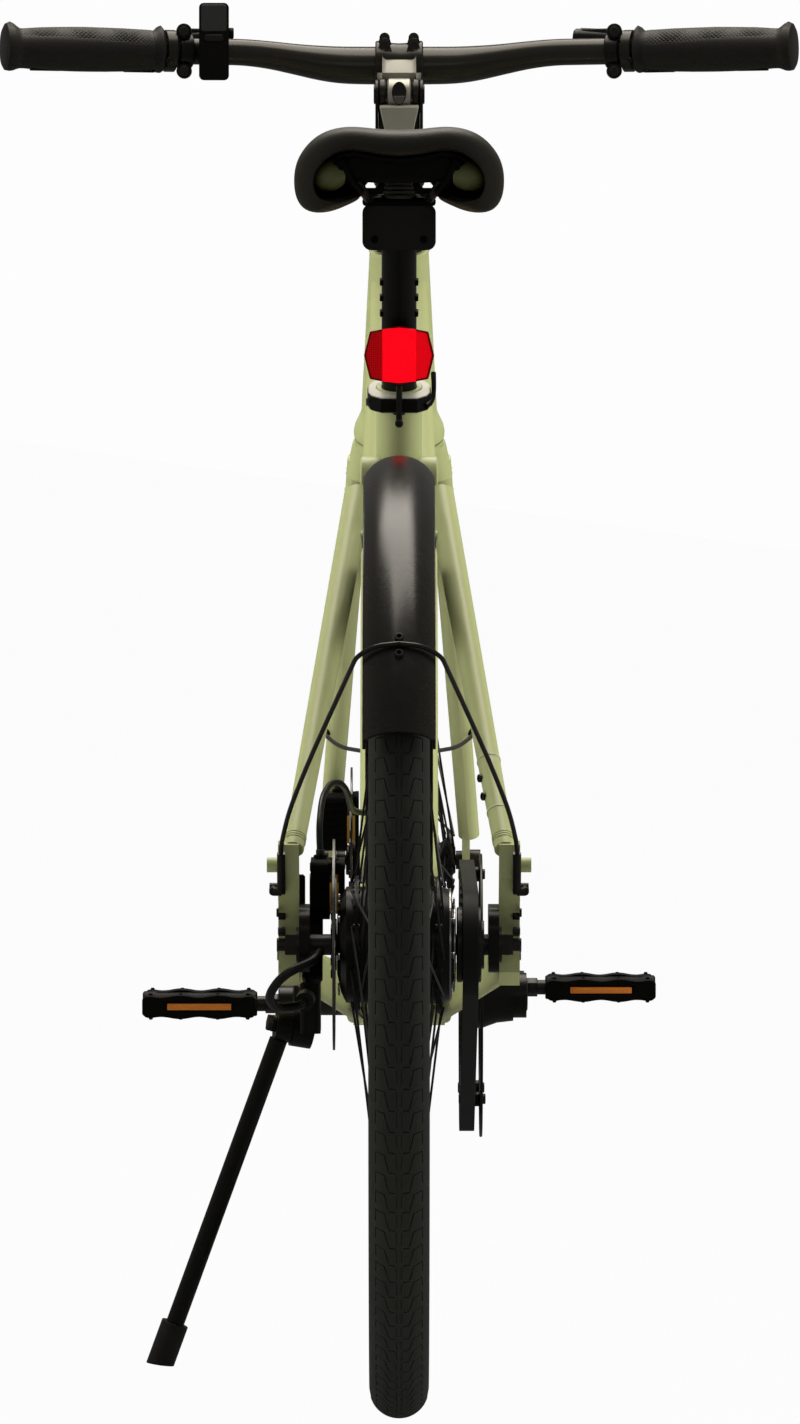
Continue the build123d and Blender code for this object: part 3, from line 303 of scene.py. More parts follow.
def tube(bm, points, radius, sides, widths=None, paint=0, closed=False):
    """Round tube along a smooth curve through the neighbourhood of some points."""
    path = bpy.data.curves.new("path", "CURVE")
    path.dimensions = "3D"
    path.resolution_u = 8
    path.bevel_depth = radius
    path.bevel_resolution = max(1, sides // 4)
    path.use_fill_caps = True
    spline = path.splines.new("NURBS")
    spline.points.add(len(points) - 1)
    for index, point in enumerate(points):
        spline.points[index].co = (*point, 1)
        spline.points[index].radius = widths[index] if widths else 1.0
    spline.use_cyclic_u = closed
    spline.order_u = 3
    spline.use_endpoint_u = not closed
    holder = bpy.data.objects.new("path", path)
    mesh = bpy.data.meshes.new_from_object(holder)
    before = set(bm.faces)
    bm.from_mesh(mesh)
    painted(set(bm.faces) - before, paint)
    bpy.data.objects.remove(holder)
    bpy.data.meshes.remove(mesh)
    bpy.data.curves.remove(path)


def cap_screw(bm, at, out, head, height, paint=0):
    """Cap screw seen from outside: a round head with a hexagon socket."""
    place = aimed(at, out)
    mouth = (height, head * 0.55)
    lathe(bm, place, [(0, head), (height * 0.8, head), (height, head * 0.82), mouth], 18, paint)
    lathe(bm, place, [mouth, (height * 0.35, head * 0.5), (height * 0.35, 0.0)], 6, paint)


def piece(
    name, bm, materials, body, replaces=None, crease=32.0, weld=0.0005, levels=0
):
    """Finish a mesh: weld it, face it outwards, lean it with the bicycle and hang it on a body."""
    bmesh.ops.remove_doubles(bm, verts=bm.verts, dist=weld)
    bmesh.ops.recalc_face_normals(bm, faces=bm.faces)
    bm.transform(PARK)
    mesh = bpy.data.meshes.new(name)
    bm.to_mesh(mesh)
    bm.free()
    mesh.shade_smooth()
    mesh.set_sharp_from_angle(angle=math.radians(crease))
    made = bpy.data.objects.new(name, mesh)
    bpy.context.scene.collection.objects.link(made)
    for material in materials:
        mesh.materials.append(material)
    if levels:
        smooth = made.modifiers.new("rounding", "SUBSURF")
        smooth.levels = smooth.render_levels = levels
    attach(made, body)
    if replaces:
        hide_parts(replaces)
    return made


# ---------------------------------------------------------------- shader groups


def group(name, inputs, outputs):
    """Empty shader group with named inputs, given as (name, default), and named outputs."""
    tree = bpy.data.node_groups.new(name, "ShaderNodeTree")
    for label, value in inputs:
        kind = "NodeSocketColor" if isinstance(value, tuple) else "NodeSocketFloat"
        tree.interface.new_socket(label, in_out="INPUT", socket_type=kind).default_value = value
    for label, kind in outputs:
        tree.interface.new_socket(label, in_out="OUTPUT", socket_type=kind)
    return tree, tree.nodes.new("NodeGroupInput").outputs, tree.nodes.new("NodeGroupOutput").inputs


class Wires:
    """Short way to place and join nodes in a tree."""

    def __init__(self, tree):
        self.tree = tree

    def join(self, source, target):
        """Link a socket to a target, or set the target to a plain value."""
        if isinstance(source, bpy.types.NodeSocket):
            self.tree.links.new(source, target)
        else:
            target.default_value = source

    def fill(self, node, values):
        """Join values to a node's inputs by their labels."""
        for label, value in values.items():
            self.join(value, node.inputs[label])

    def node(self, kind, values=(), **settings):
        made = self.tree.nodes.new("ShaderNode" + kind)
        for key, value in settings.items():
            setattr(made, key, value)
        self.fill(made, dict(values))
        return made

    def use(self, tree, **values):
        """A group node, its inputs set by name."""
        return self.node("Group", values, node_tree=tree).outputs

    def math(self, operation, a, b=0.0, c=0.0, clamp=False):
        made = self.node("Math", operation=operation, use_clamp=clamp)
        for socket, value in zip(made.inputs, (a, b, c)):
            self.join(value, socket)
        return made.outputs[0]

    def object_place(self):
        return self.node("TexCoord").outputs["Object"]

    def noise(self, place, scale, detail, rough=0.5):
        values = {"Vector": place, "Scale": scale, "Detail": detail, "Roughness": rough}
        return self.node("TexNoise", values).outputs["Fac"]

    def mix(self, factor, a, b):
        values = {"Factor": factor, "A": a, "B": b}
        return self.node("Mix", values, data_type="RGBA").outputs["Result"]

    def spread(self, value, low, high, to_low=0.0, to_high=1.0):
        made = self.node("MapRange")
        for socket, number in zip(made.inputs, (value, low, high, to_low, to_high)):
            self.join(number, socket)
        return made.outputs["Result"]

    def bump(self, skin, height, strength, distance):
        made = self.node("Bump", {"Strength": strength, "Distance": distance, "Height": height})
        self.join(made.outputs["Normal"], skin.inputs["Normal"])

    def seen_directly(self):
        """The kinds of ray, and a mask of those that look straight at the surface."""
        rays = self.node("LightPath").outputs
        direct = self.math("ADD", rays["Is Camera Ray"], rays["Is Transmission Ray"], clamp=True)
        return rays, direct


def tone_group():
    """Slow and fine variation of a colour and its roughness, as on any handled surface."""
    tree, inputs, outputs = group(
        "surface_tone",
        [("Color", (0.5, 0.5, 0.5, 1)), ("Roughness", 0.5), ("Variation", 0.1), ("Scale", 1.0)],
        [("Color", "NodeSocketColor"), ("Roughness", "NodeSocketFloat")],
    )
    w = Wires(tree)
    place = w.object_place()
    slow = w.noise(place, w.math("MULTIPLY", inputs["Scale"], 9.0), 2.0)
    fine = w.noise(place, w.math("MULTIPLY", inputs["Scale"], 160.0), 4.0, 0.6)
    blend = w.math("ADD", w.math("MULTIPLY", slow, 0.6), w.math("MULTIPLY", fine, 0.4))
    swing = w.math("MULTIPLY", w.math("SUBTRACT", blend, 0.5), inputs["Variation"])
    value = w.math("MULTIPLY_ADD", swing, 2.0, 1.0)
    tint = w.node("HueSaturation", {"Color": inputs["Color"], "Value": value})
    w.join(tint.outputs["Color"], outputs["Color"])
    w.join(w.math("ADD", inputs["Roughness"], swing, clamp=True), outputs["Roughness"])
    return tree


def grain_group():
    """Fine grain as a height: cells for hide and moulded skin, noise for paint and castings."""
    tree, inputs, outputs = group(
        "surface_grain",
        [("Scale", 400.0), ("Cells", 0.0), ("Depth", 1.0)],
        [("Height", "NodeSocketFloat")],
    )
    w = Wires(tree)
    place = w.object_place()
    cells = w.node(
        "TexVoronoi", {"Vector": place, "Scale": inputs["Scale"]}, feature="DISTANCE_TO_EDGE"
    )
    pits = w.spread(cells.outputs["Distance"], 0.0, 0.25)
    noise = w.noise(place, inputs["Scale"], 4.0, 0.6)
    both = w.math(
        "ADD", w.math("MULTIPLY", pits, inputs["Cells"]),
        w.math("MULTIPLY", noise, w.math("SUBTRACT", 1.0, inputs["Cells"])),
    )
    w.join(w.math("MULTIPLY", both, inputs["Depth"]), outputs["Height"])
    return tree


def dust_group():
    """Mask of the faint dust that settles on what faces up, broken into patches."""
    tree, inputs, outputs = group(
        "settled_dust", [("Amount", 0.1), ("Scale", 30.0)], [("Mask", "NodeSocketFloat")]
    )
    w = Wires(tree)
    facing = w.node("SeparateXYZ", {"Vector": w.node("NewGeometry").outputs["Normal"]})
    patches = w.spread(w.noise(w.object_place(), inputs["Scale"], 5.0, 0.65), 0.4, 0.75)
    up = w.spread(facing.outputs["Z"], -0.2, 1.0)
    settled = w.math("MULTIPLY", patches, up)
    w.join(w.math("MULTIPLY", settled, inputs["Amount"], clamp=True), outputs["Mask"])
    return tree


TONE = tone_group()
GRAIN = grain_group()
DUST = dust_group()


# ---------------------------------------------------------------- materials

DUST_COLOR = (0.32, 0.30, 0.26, 1)
COAT_ROUGHNESS = 0.25
GRAIN_HEIGHT = 0.001
PRISM_HEIGHT = 0.0006
TURNING_LINES = 4000.0


def blank(name):
    """New node material, with its wiring and its main shader."""
    made = bpy.data.materials.new(name)
    made.use_nodes = True
    return made, Wires(made.node_tree), made.node_tree.nodes["Principled BSDF"]


def finish(
    name, color, roughness, metallic=0.0, variation=0.12, grain=500.0, cells=0.0, bump=0.02,
    dust=0.0, coat=0.0, specular=0.5, pattern=None,
):
    """Material with toned colour, fine grain and faint dust; pattern may add its own height."""
    made, w, skin = blank(name)
    tone = w.use(TONE, Color=(*color, 1), Roughness=roughness, Variation=variation)
    dusty = w.use(DUST, Amount=dust)["Mask"]
    w.fill(skin, {
        "Base Color": w.mix(dusty, tone["Color"], DUST_COLOR),
        "Roughness": w.math("MAXIMUM", tone["Roughness"], dusty),
        "Metallic": metallic, "Specular IOR Level": specular,
        "Coat Weight": coat, "Coat Roughness": COAT_ROUGHNESS,
    })
    height = w.use(GRAIN, Scale=grain, Cells=cells)["Height"]
    if pattern:
        height = w.math("ADD", height, pattern(w))
    w.bump(skin, height, bump, GRAIN_HEIGHT)
    return made


def turned_metal(name, centre):
    """Steel with the fine rings that turning and grinding leave round an axle."""

    def rings(w):
        shift = w.node("Mapping", {"Vector": w.object_place(), "Location": -(PARK @ centre)})
        parts = w.node("SeparateXYZ", {"Vector": shift.outputs["Vector"]}).outputs
        lift = w.math("DIVIDE", parts["Z"], math.cos(LEAN))
        squares = w.math("ADD", w.math("POWER", parts["Y"], 2.0), w.math("POWER", lift, 2.0))
        along = w.math("MULTIPLY", w.math("SQRT", squares), TURNING_LINES)
        values = {"W": along, "Scale": 1.0, "Detail": 4.0}
        lines = w.node("TexNoise", values, noise_dimensions="1D")
        return w.math("MULTIPLY", lines.outputs["Fac"], 2.0)

    return finish(
        name, (0.16, 0.16, 0.155), 0.36, metallic=1.0, variation=0.15, grain=900.0, bump=0.12,
        pattern=rings,
    )


def prism_lens(name, color, cell, depth, glow):
    """Moulded reflector: rows of small prisms under a glossy skin; its colour carries painted shade
    and a painted glow.
    """
    made, w, skin = blank(name)
    level = w.node("Mapping", {"Vector": w.object_place(), "Rotation": (0, LEAN, 0)})
    parts = w.node("SeparateXYZ", {"Vector": level.outputs["Vector"]}).outputs
    flat = w.node("CombineXYZ", {"X": parts["X"], "Y": parts["Z"]}).outputs["Vector"]
    cells = w.node("TexVoronoi", voronoi_dimensions="2D", feature="F1")
    w.fill(cells, {"Vector": flat, "Randomness": 0.0, "Scale": 1.0 / cell})
    height = w.spread(cells.outputs["Distance"], 0.0, 0.7)
    # painted shade: each prism's colour darkens towards its edges, as if light fell off its facets
    shade = w.math("MULTIPLY_ADD", height, -depth, 1.0)
    painted_shade_color = tuple(0.18 * part for part in color)
    tone = w.mix(shade, (*painted_shade_color, 1), (*color, 1))
    # painted glow: the reflector emits its own colour, though it is no lamp; glow sets how bright
    w.fill(skin, {
        "Base Color": tone, "Emission Color": tone, "Emission Strength": glow, "Roughness": 0.3,
        "Specular IOR Level": 0.12, "Coat Weight": 0.08,
    })
    w.bump(skin, height, 0.5, PRISM_HEIGHT)
    return made


avocado = finish(
    "avocado_paint", (0.47, 0.515, 0.24), 0.42, variation=0.05, grain=900.0, bump=0.05, coat=0.12
)
# pale paint; on the fork ribs it is painted highlight along their edges
pale_paint_and_highlight = finish("pale_paint_and_highlight", (0.62, 0.66, 0.42), 0.4, variation=0.05, grain=900.0, bump=0.04)
black_satin = finish(
    "black_satin", (0.005, 0.0047, 0.0038), 0.30, variation=0.14, bump=0.05, specular=0.24
)
anodised = finish(
    "anodised_black", (0.016, 0.015, 0.012), 0.28, metallic=0.35, variation=0.16, grain=1200.0,
    bump=0.03, specular=0.35,
)
cast_black = finish(
    "cast_black", (0.0022, 0.0021, 0.0017), 0.42, variation=0.2, grain=700.0, bump=0.06,
    specular=0.06,
)
moulded = finish(
    "moulded_black", (0.003, 0.003, 0.0024), 0.45, grain=1400.0, cells=0.5, bump=0.12, specular=0.1
)
mudguard_skin = finish(
    "mudguard_skin", (0.008, 0.0068, 0.0042), 0.28, variation=0.25, grain=1000.0, bump=0.05,
    dust=0.015, specular=0.4,
)
hide = finish(
    "saddle_hide", (0.014, 0.0132, 0.0085), 0.48, variation=0.15, grain=900.0, cells=0.8, bump=0.2,
    specular=0.34,
)
pad_green = finish("olive_pad", (0.10, 0.11, 0.035), 0.5, variation=0.2, bump=0.1)
rubber = finish(
    "grip_rubber", (0.009, 0.0085, 0.007), 0.5, grain=1500.0, cells=0.3, bump=0.1, specular=0.3
)
tyre_rubber = finish(
    "tyre_rubber", (0.024, 0.027, 0.022), 0.65, variation=0.2, grain=1100.0, bump=0.2, dust=0.03,
    specular=0.2,
)
belt_rubber = finish(
    "belt_rubber", (0.007, 0.007, 0.007), 0.6, grain=1200.0, bump=0.1, specular=0.25
)
bellows_rubber = finish(
    "bellows_rubber", (0.035, 0.036, 0.024), 0.5, variation=0.2, grain=900.0, bump=0.1
)
hose_skin = finish(
    "hose_skin", (0.007, 0.007, 0.0065), 0.36, grain=1500.0, bump=0.05, specular=0.35
)
steel = finish("bright_steel", (0.42, 0.42, 0.42), 0.28, metallic=1.0, grain=1200.0, bump=0.05)
dark_steel = finish("dark_steel", (0.022, 0.021, 0.019), 0.34, metallic=0.5, variation=0.2)
brass = finish("pad_gold", (0.55, 0.33, 0.07), 0.35, metallic=0.8, variation=0.25, bump=0.05)
spoke_black = finish("spoke_black", (0.016, 0.016, 0.016), 0.3, metallic=0.4, variation=0.1)
bar_finish = finish(
    "bar_finish", (0.026, 0.024, 0.019), 0.25, metallic=0.5, variation=0.1, grain=1200.0, bump=0.03
)
stem_pale = finish(
    "stem_face", (0.34, 0.33, 0.285), 0.42, metallic=0.45, variation=0.08, grain=1000.0, bump=0.05
)
# a darker copy of stem_face, laid on the hinge plug's lower half as painted shade
stem_shade = finish(
    "stem_shade", (0.085, 0.08, 0.066), 0.3, metallic=0.6, variation=0.1, grain=1000.0, bump=0.04
)
# pale sheet on the seat clamp's top face: painted highlight where the light from above falls
clamp_top_highlight = finish(
    "clamp_top_highlight", (0.50, 0.49, 0.43), 0.4, metallic=0.2, variation=0.08, grain=900.0, bump=0.04
)
screen = finish("display_glass", (0.006, 0.006, 0.007), 0.12, variation=0.05, bump=0.0, coat=0.8)
lamp_lens = finish("lamp_lens", (0.55, 0.56, 0.57), 0.08, variation=0.05, bump=0.0, coat=1.0)
red_edge = finish("red_edge", (0.16, 0.0, 0.002), 0.35, variation=0.05, bump=0.0, specular=0.2)
disc_steel = turned_metal("rear_disc_steel", REAR_AXLE)
front_disc_steel = turned_metal("front_disc_steel", FRONT_AXLE)
# the last number of each reflector finish is its painted glow
red_prism = prism_lens("red_prism", (0.72, 0.0, 0.004), 0.0017, 0.85, 0.42)
red_panel = prism_lens("red_panel", (0.92, 0.0, 0.008), 0.0009, 0.05, 0.86)
red_rows = prism_lens("red_rows", (0.85, 0.0, 0.006), 0.0017, 0.35, 0.72)
amber_prism = prism_lens("amber_prism", (0.80, 0.25, 0.04), 0.0011, 0.5, 0.1)

# ---------------------------------------------------------------- wheels

TREAD_PITCHES = 135
TREAD_STEP = math.tau / TREAD_PITCHES
TREAD_SIDE = 22.6
TREAD_START = -1.0
GROOVE_DEPTH = 0.9
STRIP_WIDTH = 2.2
CROWN = TYRE_WIDTH / 2
WALL_RIBS = (0, 0.35, 0.35, 0, 0, 0.3, 0, 0, 0.45, 0.45, 0, 0)
WALL_END = math.radians(128)
BEAD_SIDE, BEAD_TOP, BEAD_FOOT = 10.6, 316.4, 311.8
SPOKES = 36
VALVE_AT = 200


def strip(points, width):
    """Outline of a strip of even width along a bent line."""
    sides = [[], []]
    for index, point in enumerate(points):
        before = Vector(points[max(index - 1, 0)])
        after = Vector(points[min(index + 1, len(points) - 1)])
        along = (after - before).normalized()
        out = Vector((-along.y, along.x)) * width / 2
        sides[0].append(tuple(Vector(point) + out))
        sides[1].append(tuple(Vector(point) - out))
    return sides[0] + sides[1][::-1]


TREAD_CUTS = [
    [(3.0, -0.45), (7.9, -0.45), (7.9, 0.45), (3.0, 0.45)],
    strip([(2.15, 15.2), (1.5, 3.6)], 0.5),
    strip([(7.9, 1.4), (9.6, 7.8), (11.2, 14.0), (19.3, 14.8), (19.5, 4.4)], 0.95),
]


def tread_cell(bm):
    """One pitch of the tread, flat: its face and the grooves sunk in it, cut into strips."""
    low, high = TREAD_START, TREAD_START + TREAD_STEP * TYRE_RADIUS
    edge = [(-TREAD_SIDE, low), (TREAD_SIDE, low), (TREAD_SIDE, high), (-TREAD_SIDE, high)]
    cuts = TREAD_CUTS + [[(-x, y) for x, y in cut][::-1] for cut in TREAD_CUTS]
    loops = [edge_loop(bm, points) for points in [edge, *cuts]]
    filled(bm, [line for loop in loops for line in loop])
    for loop in loops[1:]:
        sunk = bmesh.ops.extrude_edge_only(bm, edges=loop)["geom"]
        floor = only(bmesh.types.BMVert, sunk)
        bmesh.ops.translate(bm, verts=floor, vec=(0, 0, -GROOVE_DEPTH))
        filled(bm, [line for line in edges_of(floor) if all(end in floor for end in line.verts)])
    for step in range(-10, 11):
        bmesh.ops.bisect_plane(
            bm, geom=bm.verts[:] + bm.edges[:] + bm.faces[:], dist=0.0005,
            plane_co=(step * STRIP_WIDTH, 0, 0), plane_no=(1, 0, 0),
        )


def tyre(name, node, axle, body):
    """Tyre with its sunk tread pattern, ribbed side walls and beads."""
    bm = bmesh.new()
    tread_cell(bm)
    for vert in bm.verts:
        bend = vert.co.x / CROWN
        turn = math.pi - vert.co.y / TYRE_RADIUS
        reach = TYRE_CORE + (CROWN + vert.co.z) * math.cos(bend)
        vert.co = around(
            axle, reach, math.degrees(turn), (CROWN + vert.co.z) * math.sin(bend)
        )
    bmesh.ops.spin(
        bm, geom=bm.verts[:] + bm.edges[:] + bm.faces[:], cent=axle, axis=X,
        angle=-TREAD_STEP * (TREAD_PITCHES - 1), steps=TREAD_PITCHES - 1, use_duplicate=True,
    )
    wall = []
    first = TREAD_SIDE / CROWN
    for step, lift in enumerate(WALL_RIBS):
        bend = first + step * (WALL_END - first) / (len(WALL_RIBS) - 1)
        reach = CROWN - 0.4 * min(step, 1) + lift
        wall.append((reach * math.sin(bend), TYRE_CORE + reach * math.cos(bend)))
    wall += [(BEAD_SIDE, BEAD_TOP), (BEAD_SIDE, BEAD_FOOT)]
    place = along_x(axle) @ Matrix.Rotation(math.pi - TREAD_START / TYRE_RADIUS, 4, "Z")
    foot = [(BEAD_SIDE, BEAD_FOOT), (-BEAD_SIDE, BEAD_FOOT)]
    for profile in (wall, [(-side, reach) for side, reach in wall], foot):
        lathe(bm, place, profile, TREAD_PITCHES)
    piece(name, bm, [tyre_rubber], body, node, crease=34, weld=0.02)


tyre("rear_tyre_tread", "rear_tyre", REAR_AXLE, "rear_wheel")
tyre("front_tyre_tread", "front_tyre", FRONT_AXLE, "front_wheel")


def wheel_fittings(name, axle, body, flange_radius, flanges):
    """Spoke nipples at the rim, spoke heads at the hub flanges and the valve."""
    bm = bmesh.new()
    for index in range(SPOKES):
        out = around(Vector(), 1, 360 * index / SPOKES)
        lean = X * (-3.0 if index % 2 == 0 else 3.0)
        bar(bm, axle + out * 286 + lean, axle + out * 298.5 + lean, 1.9, sides=8)
        head = 720 * (index // 2) / SPOKES
        at = around(axle, flange_radius, head, flanges[index % 2])
        bar(bm, at - X * 2.6, at + X * 2.6, 1.9, sides=8, rim=0.5)
    bar(bm, around(axle, 260, VALVE_AT), around(axle, 298, VALVE_AT), 3.0, sides=12)
    bar(bm, around(axle, 254, VALVE_AT), around(axle, 267, VALVE_AT), 4.2, sides=12, rim=1.0)
    piece(name, bm, [spoke_black], body)


wheel_fittings("rear_wheel_fittings", REAR_AXLE, "rear_wheel", 48, (-32, 30))
wheel_fittings("front_wheel_fittings", FRONT_AXLE, "front_wheel", 22.5, (-27, 43.5))


def oval(radius, degrees, long, wide, slant):
    """Slot at a distance from the centre, its long side turned from the radius."""
    centre = Vector(polar(radius, math.radians(degrees)))
    along = Vector(polar(1, math.radians(degrees + slant)))
    across = Vector((-along.y, along.x))
    half = (long - wide) / 2
    points = []
    for sign in (1, -1):
        for step in range(5):
            a = math.pi * (step / 4 - 0.5)
            offset = along * (half + wide / 2 * math.cos(a)) + across * (wide / 2 * math.sin(a))
            points.append(tuple(centre + offset * sign))
    return points


def rotor(name, node, axle, side, body, skin, hub_from, hub_to, hub_radius):
    """Brake disc: wavy slotted ring on six swept arms, bolted to a hub plate."""
    bm = bmesh.new()
    inside = side - 0.9
    turns = [math.tau * step / 144 for step in range(144)]
    outline = [polar(79.9 - 0.55 * (1 - math.cos(turn * 12)), turn) for turn in turns]
    holes = []
    for base in range(0, 360, 60):
        holes.append(
            arc_points(63.5, base + 27, base + 78, 14) + arc_points(29, base + 50, base + 10, 8)
        )
    for degrees in range(0, 360, 15):
        holes.append(oval(75.4, degrees, 5.2, 2.4, 55))
        holes.append(oval(68.6, degrees + 7.5, 5.2, 2.4, -55))
    plate(bm, along_x(axle + X * inside), outline, 1.8, holes=holes)
    for degrees in range(30, 390, 60):
        cap_screw(bm, around(axle, 22, degrees, inside), -X, 3.6, 1.6, paint=1)
    lathe(
        bm, along_x(axle),
        [(hub_from, 9), (hub_from, hub_radius - 1), (hub_from + 0.6, hub_radius),
         (hub_to, hub_radius), (hub_to, 9)],
        paint=1, closed=True,
    )
    piece(name, bm, [skin, black_satin], body, node, weld=0.001)


rotor(
    "rear_brake_disc", "rear_rotor", REAR_AXLE, -49.2, "rear_wheel", disc_steel,
    -51.2, -47.1, 19.6,
)
rotor(
    "front_brake_disc", "front_rotor", FRONT_AXLE, -41.0, "front_wheel", front_disc_steel,
    -45.9, -39.9, 13.0,
)


def hub_details():
    """Covers, rings and bolts of the hub motor."""
    bm = bmesh.new()
    place = along_x(REAR_AXLE)
    for side, x, reach in ((-1, -44.6, 37.0), (1, 40.6, 34.0)):
        for degrees in range(10, 370, 45):
            cap_screw(bm, around(REAR_AXLE, reach, degrees, x), X * side, 2.6, 1.6, paint=1)
    for x in range(-26, 23, 6):
        lathe(bm, place, [(x, 43.6), (x + 0.5, 44.9), (x + 2.0, 44.9), (x + 2.5, 43.6)], 96)
    lathe(bm, place, [(37.4, 39), (38.0, 42.6), (39.2, 42.6), (40.0, 39)], 96, 1)
    lathe(bm, place, [(41.0, 26), (41.4, 30.4), (42.4, 30.4), (42.8, 26)], 72, 1)
    piece("hub_motor_details", bm, [black_satin, steel], "rear_wheel")


hub_details()

# ---------------------------------------------------------------- belt drive

BELT_LINE = 54.0
BELT_WIDTH = 12.0
BELT_PITCH = 11.0
FRONT_BELT = 108.5
REAR_BELT = 39.8
COG_START = BELT_LINE - 5.5


class BeltPath:
    """The belt's outer line round both pulleys, walked by length."""

    def __init__(self):
        self.rear = Vector((REAR_AXLE.y, REAR_AXLE.z))
        self.front = Vector((BB.y, BB.z))
        span = self.front - self.rear
        base = math.atan2(span.y, span.x)
        swing = math.acos((REAR_BELT - FRONT_BELT) / span.length)
        self.high, self.low = base + swing, base - swing
        self.run = math.sqrt(span.length ** 2 - (FRONT_BELT - REAR_BELT) ** 2)
        self.front_arc = FRONT_BELT * 2 * swing
        self.length = 2 * self.run + self.front_arc + REAR_BELT * (math.tau - 2 * swing)

    def at(self, distance, inset):
        """Point at a length along the belt, this far inside its outer line."""

        def on_rear(turn):
            return self.rear + Vector(polar(1, turn)) * (REAR_BELT - inset)

        def on_front(turn):
            return self.front + Vector(polar(1, turn)) * (FRONT_BELT - inset)

        distance %= self.length
        if distance <= self.run:
            return tuple(on_rear(self.high).lerp(on_front(self.high), distance / self.run))
        distance -= self.run
        if distance <= self.front_arc:
            return tuple(on_front(self.high - distance / FRONT_BELT))
        distance -= self.front_arc
        if distance <= self.run:
            return tuple(on_front(self.low).lerp(on_rear(self.low), distance / self.run))
        return tuple(on_rear(self.low - (distance - self.run) / REAR_BELT))


def toothed_belt():
    """Belt with teeth on the inside."""
    bm = bmesh.new()
    path = BeltPath()
    teeth = round(path.length / BELT_PITCH)
    pitch = path.length / teeth
    back = [path.at((index + 0.5) * pitch / 2, 0.0) for index in range(teeth * 2)]
    inner = [
        path.at((index + share) * pitch, inset)
        for index in range(teeth)
        for share, inset in ((0.05, 4.0), (0.42, 4.0), (0.55, 1.8), (0.92, 1.8))
    ]
    place = along_x(X * (BELT_LINE - BELT_WIDTH / 2))
    plate(bm, place, back, BELT_WIDTH, 0.35, [inner])
    piece("toothed_belt", bm, [belt_rubber], "frame", "belt", weld=0.001)


toothed_belt()


def gear_outline(radius, depth, count):
    """Round outline notched for the belt's teeth."""
    root = radius - depth
    step = math.tau / count
    return [
        polar(reach, math.tau * index / count + share * step)
        for index in range(count)
        for share, reach in ((0.02, root), (0.40, root), (0.52, radius), (0.90, radius))
    ]


def front_pulley():
    """Toothed ring on a five-arm spider, with the guard disc outside it and its bolts."""
    bm = bmesh.new()
    teeth = gear_outline(104.1, 2.6, 60)
    plate(bm, along_x(BB + X * COG_START), teeth, 11.0, 0.3, [ring_of(72, 91.0)])
    plate(bm, along_x(BB + X * 64.1), ring_of(120, 113.3), 2.3, 0.6, [ring_of(96, 92.0)])
    spider = along_x(BB + X * (BELT_LINE - 3))
    plate(bm, spider, ring_of(60, 31.0), 6.8, 0.8, [ring_of(30, 12.2)])
    for degrees in range(18, 378, 72):
        tip = around(Vector(), 1, degrees)
        arm = BB + tip * 58 + X * (BELT_LINE + 0.4)
        block(bm, arm, (6.6, 14.5, 64), 1.6, oriented(X, tip.cross(X), tip).to_3x3())
        bolt = BB + tip * 97
        outer = bolt + X * (BELT_LINE + 5.3)
        bar(bm, outer, outer + X * 5.2, 6.0, rim=0.8)
        cap_screw(bm, outer + X * 7.0, X, 4.2, 2.4, paint=1)
        cap_screw(bm, bolt + X * (BELT_LINE - 5.4), -X, 4.2, 1.4, paint=1)
    piece(
        "front_pulley", bm, [black_satin, dark_steel], "crank", "belt_ring",
        weld=0.001,
    )


front_pulley()


def rear_pulley():
    """Toothed rear pulley with its side flanges and lock ring."""
    bm = bmesh.new()
    teeth = gear_outline(35.3, 2.2, 22)
    plate(bm, along_x(REAR_AXLE + X * COG_START), teeth, 11.0, 0.3, [ring_of(40, 8.4)])
    inner = [(43.5, 8.3), (43.5, 27.5), (44.3, 28.5), (47.6, 28.5), (48.5, 26.0), (48.5, 8.3)]
    outer = [
        (59.5, 8.3), (59.5, 27.8), (60.0, 28.5), (61.6, 28.5), (62.2, 27), (62.4, 18.2),
        (64.3, 18.2), (64.4, 8.3),
    ]
    for flange in (inner, outer):
        lathe(bm, along_x(REAR_AXLE), flange, 64, closed=True)
    for degrees in range(0, 360, 30):
        at = around(REAR_AXLE, 15.0, degrees, 62.6)
        bar(bm, at, at + X * 1.7, 1.5, sides=8)
    piece("rear_pulley", bm, [dark_steel], "rear_wheel", "rear_cog", weld=0.001)


rear_pulley()

# ---------------------------------------------------------------- cranks and pedals

PEDALS = {-1: upright("left_pedal_spin"), 1: upright("right_pedal_spin")}
CRANK_FACES = {-1: -94.0, 1: 102.0}
PEDAL_LENGTH = 90.0
PEDAL_START = 17.0


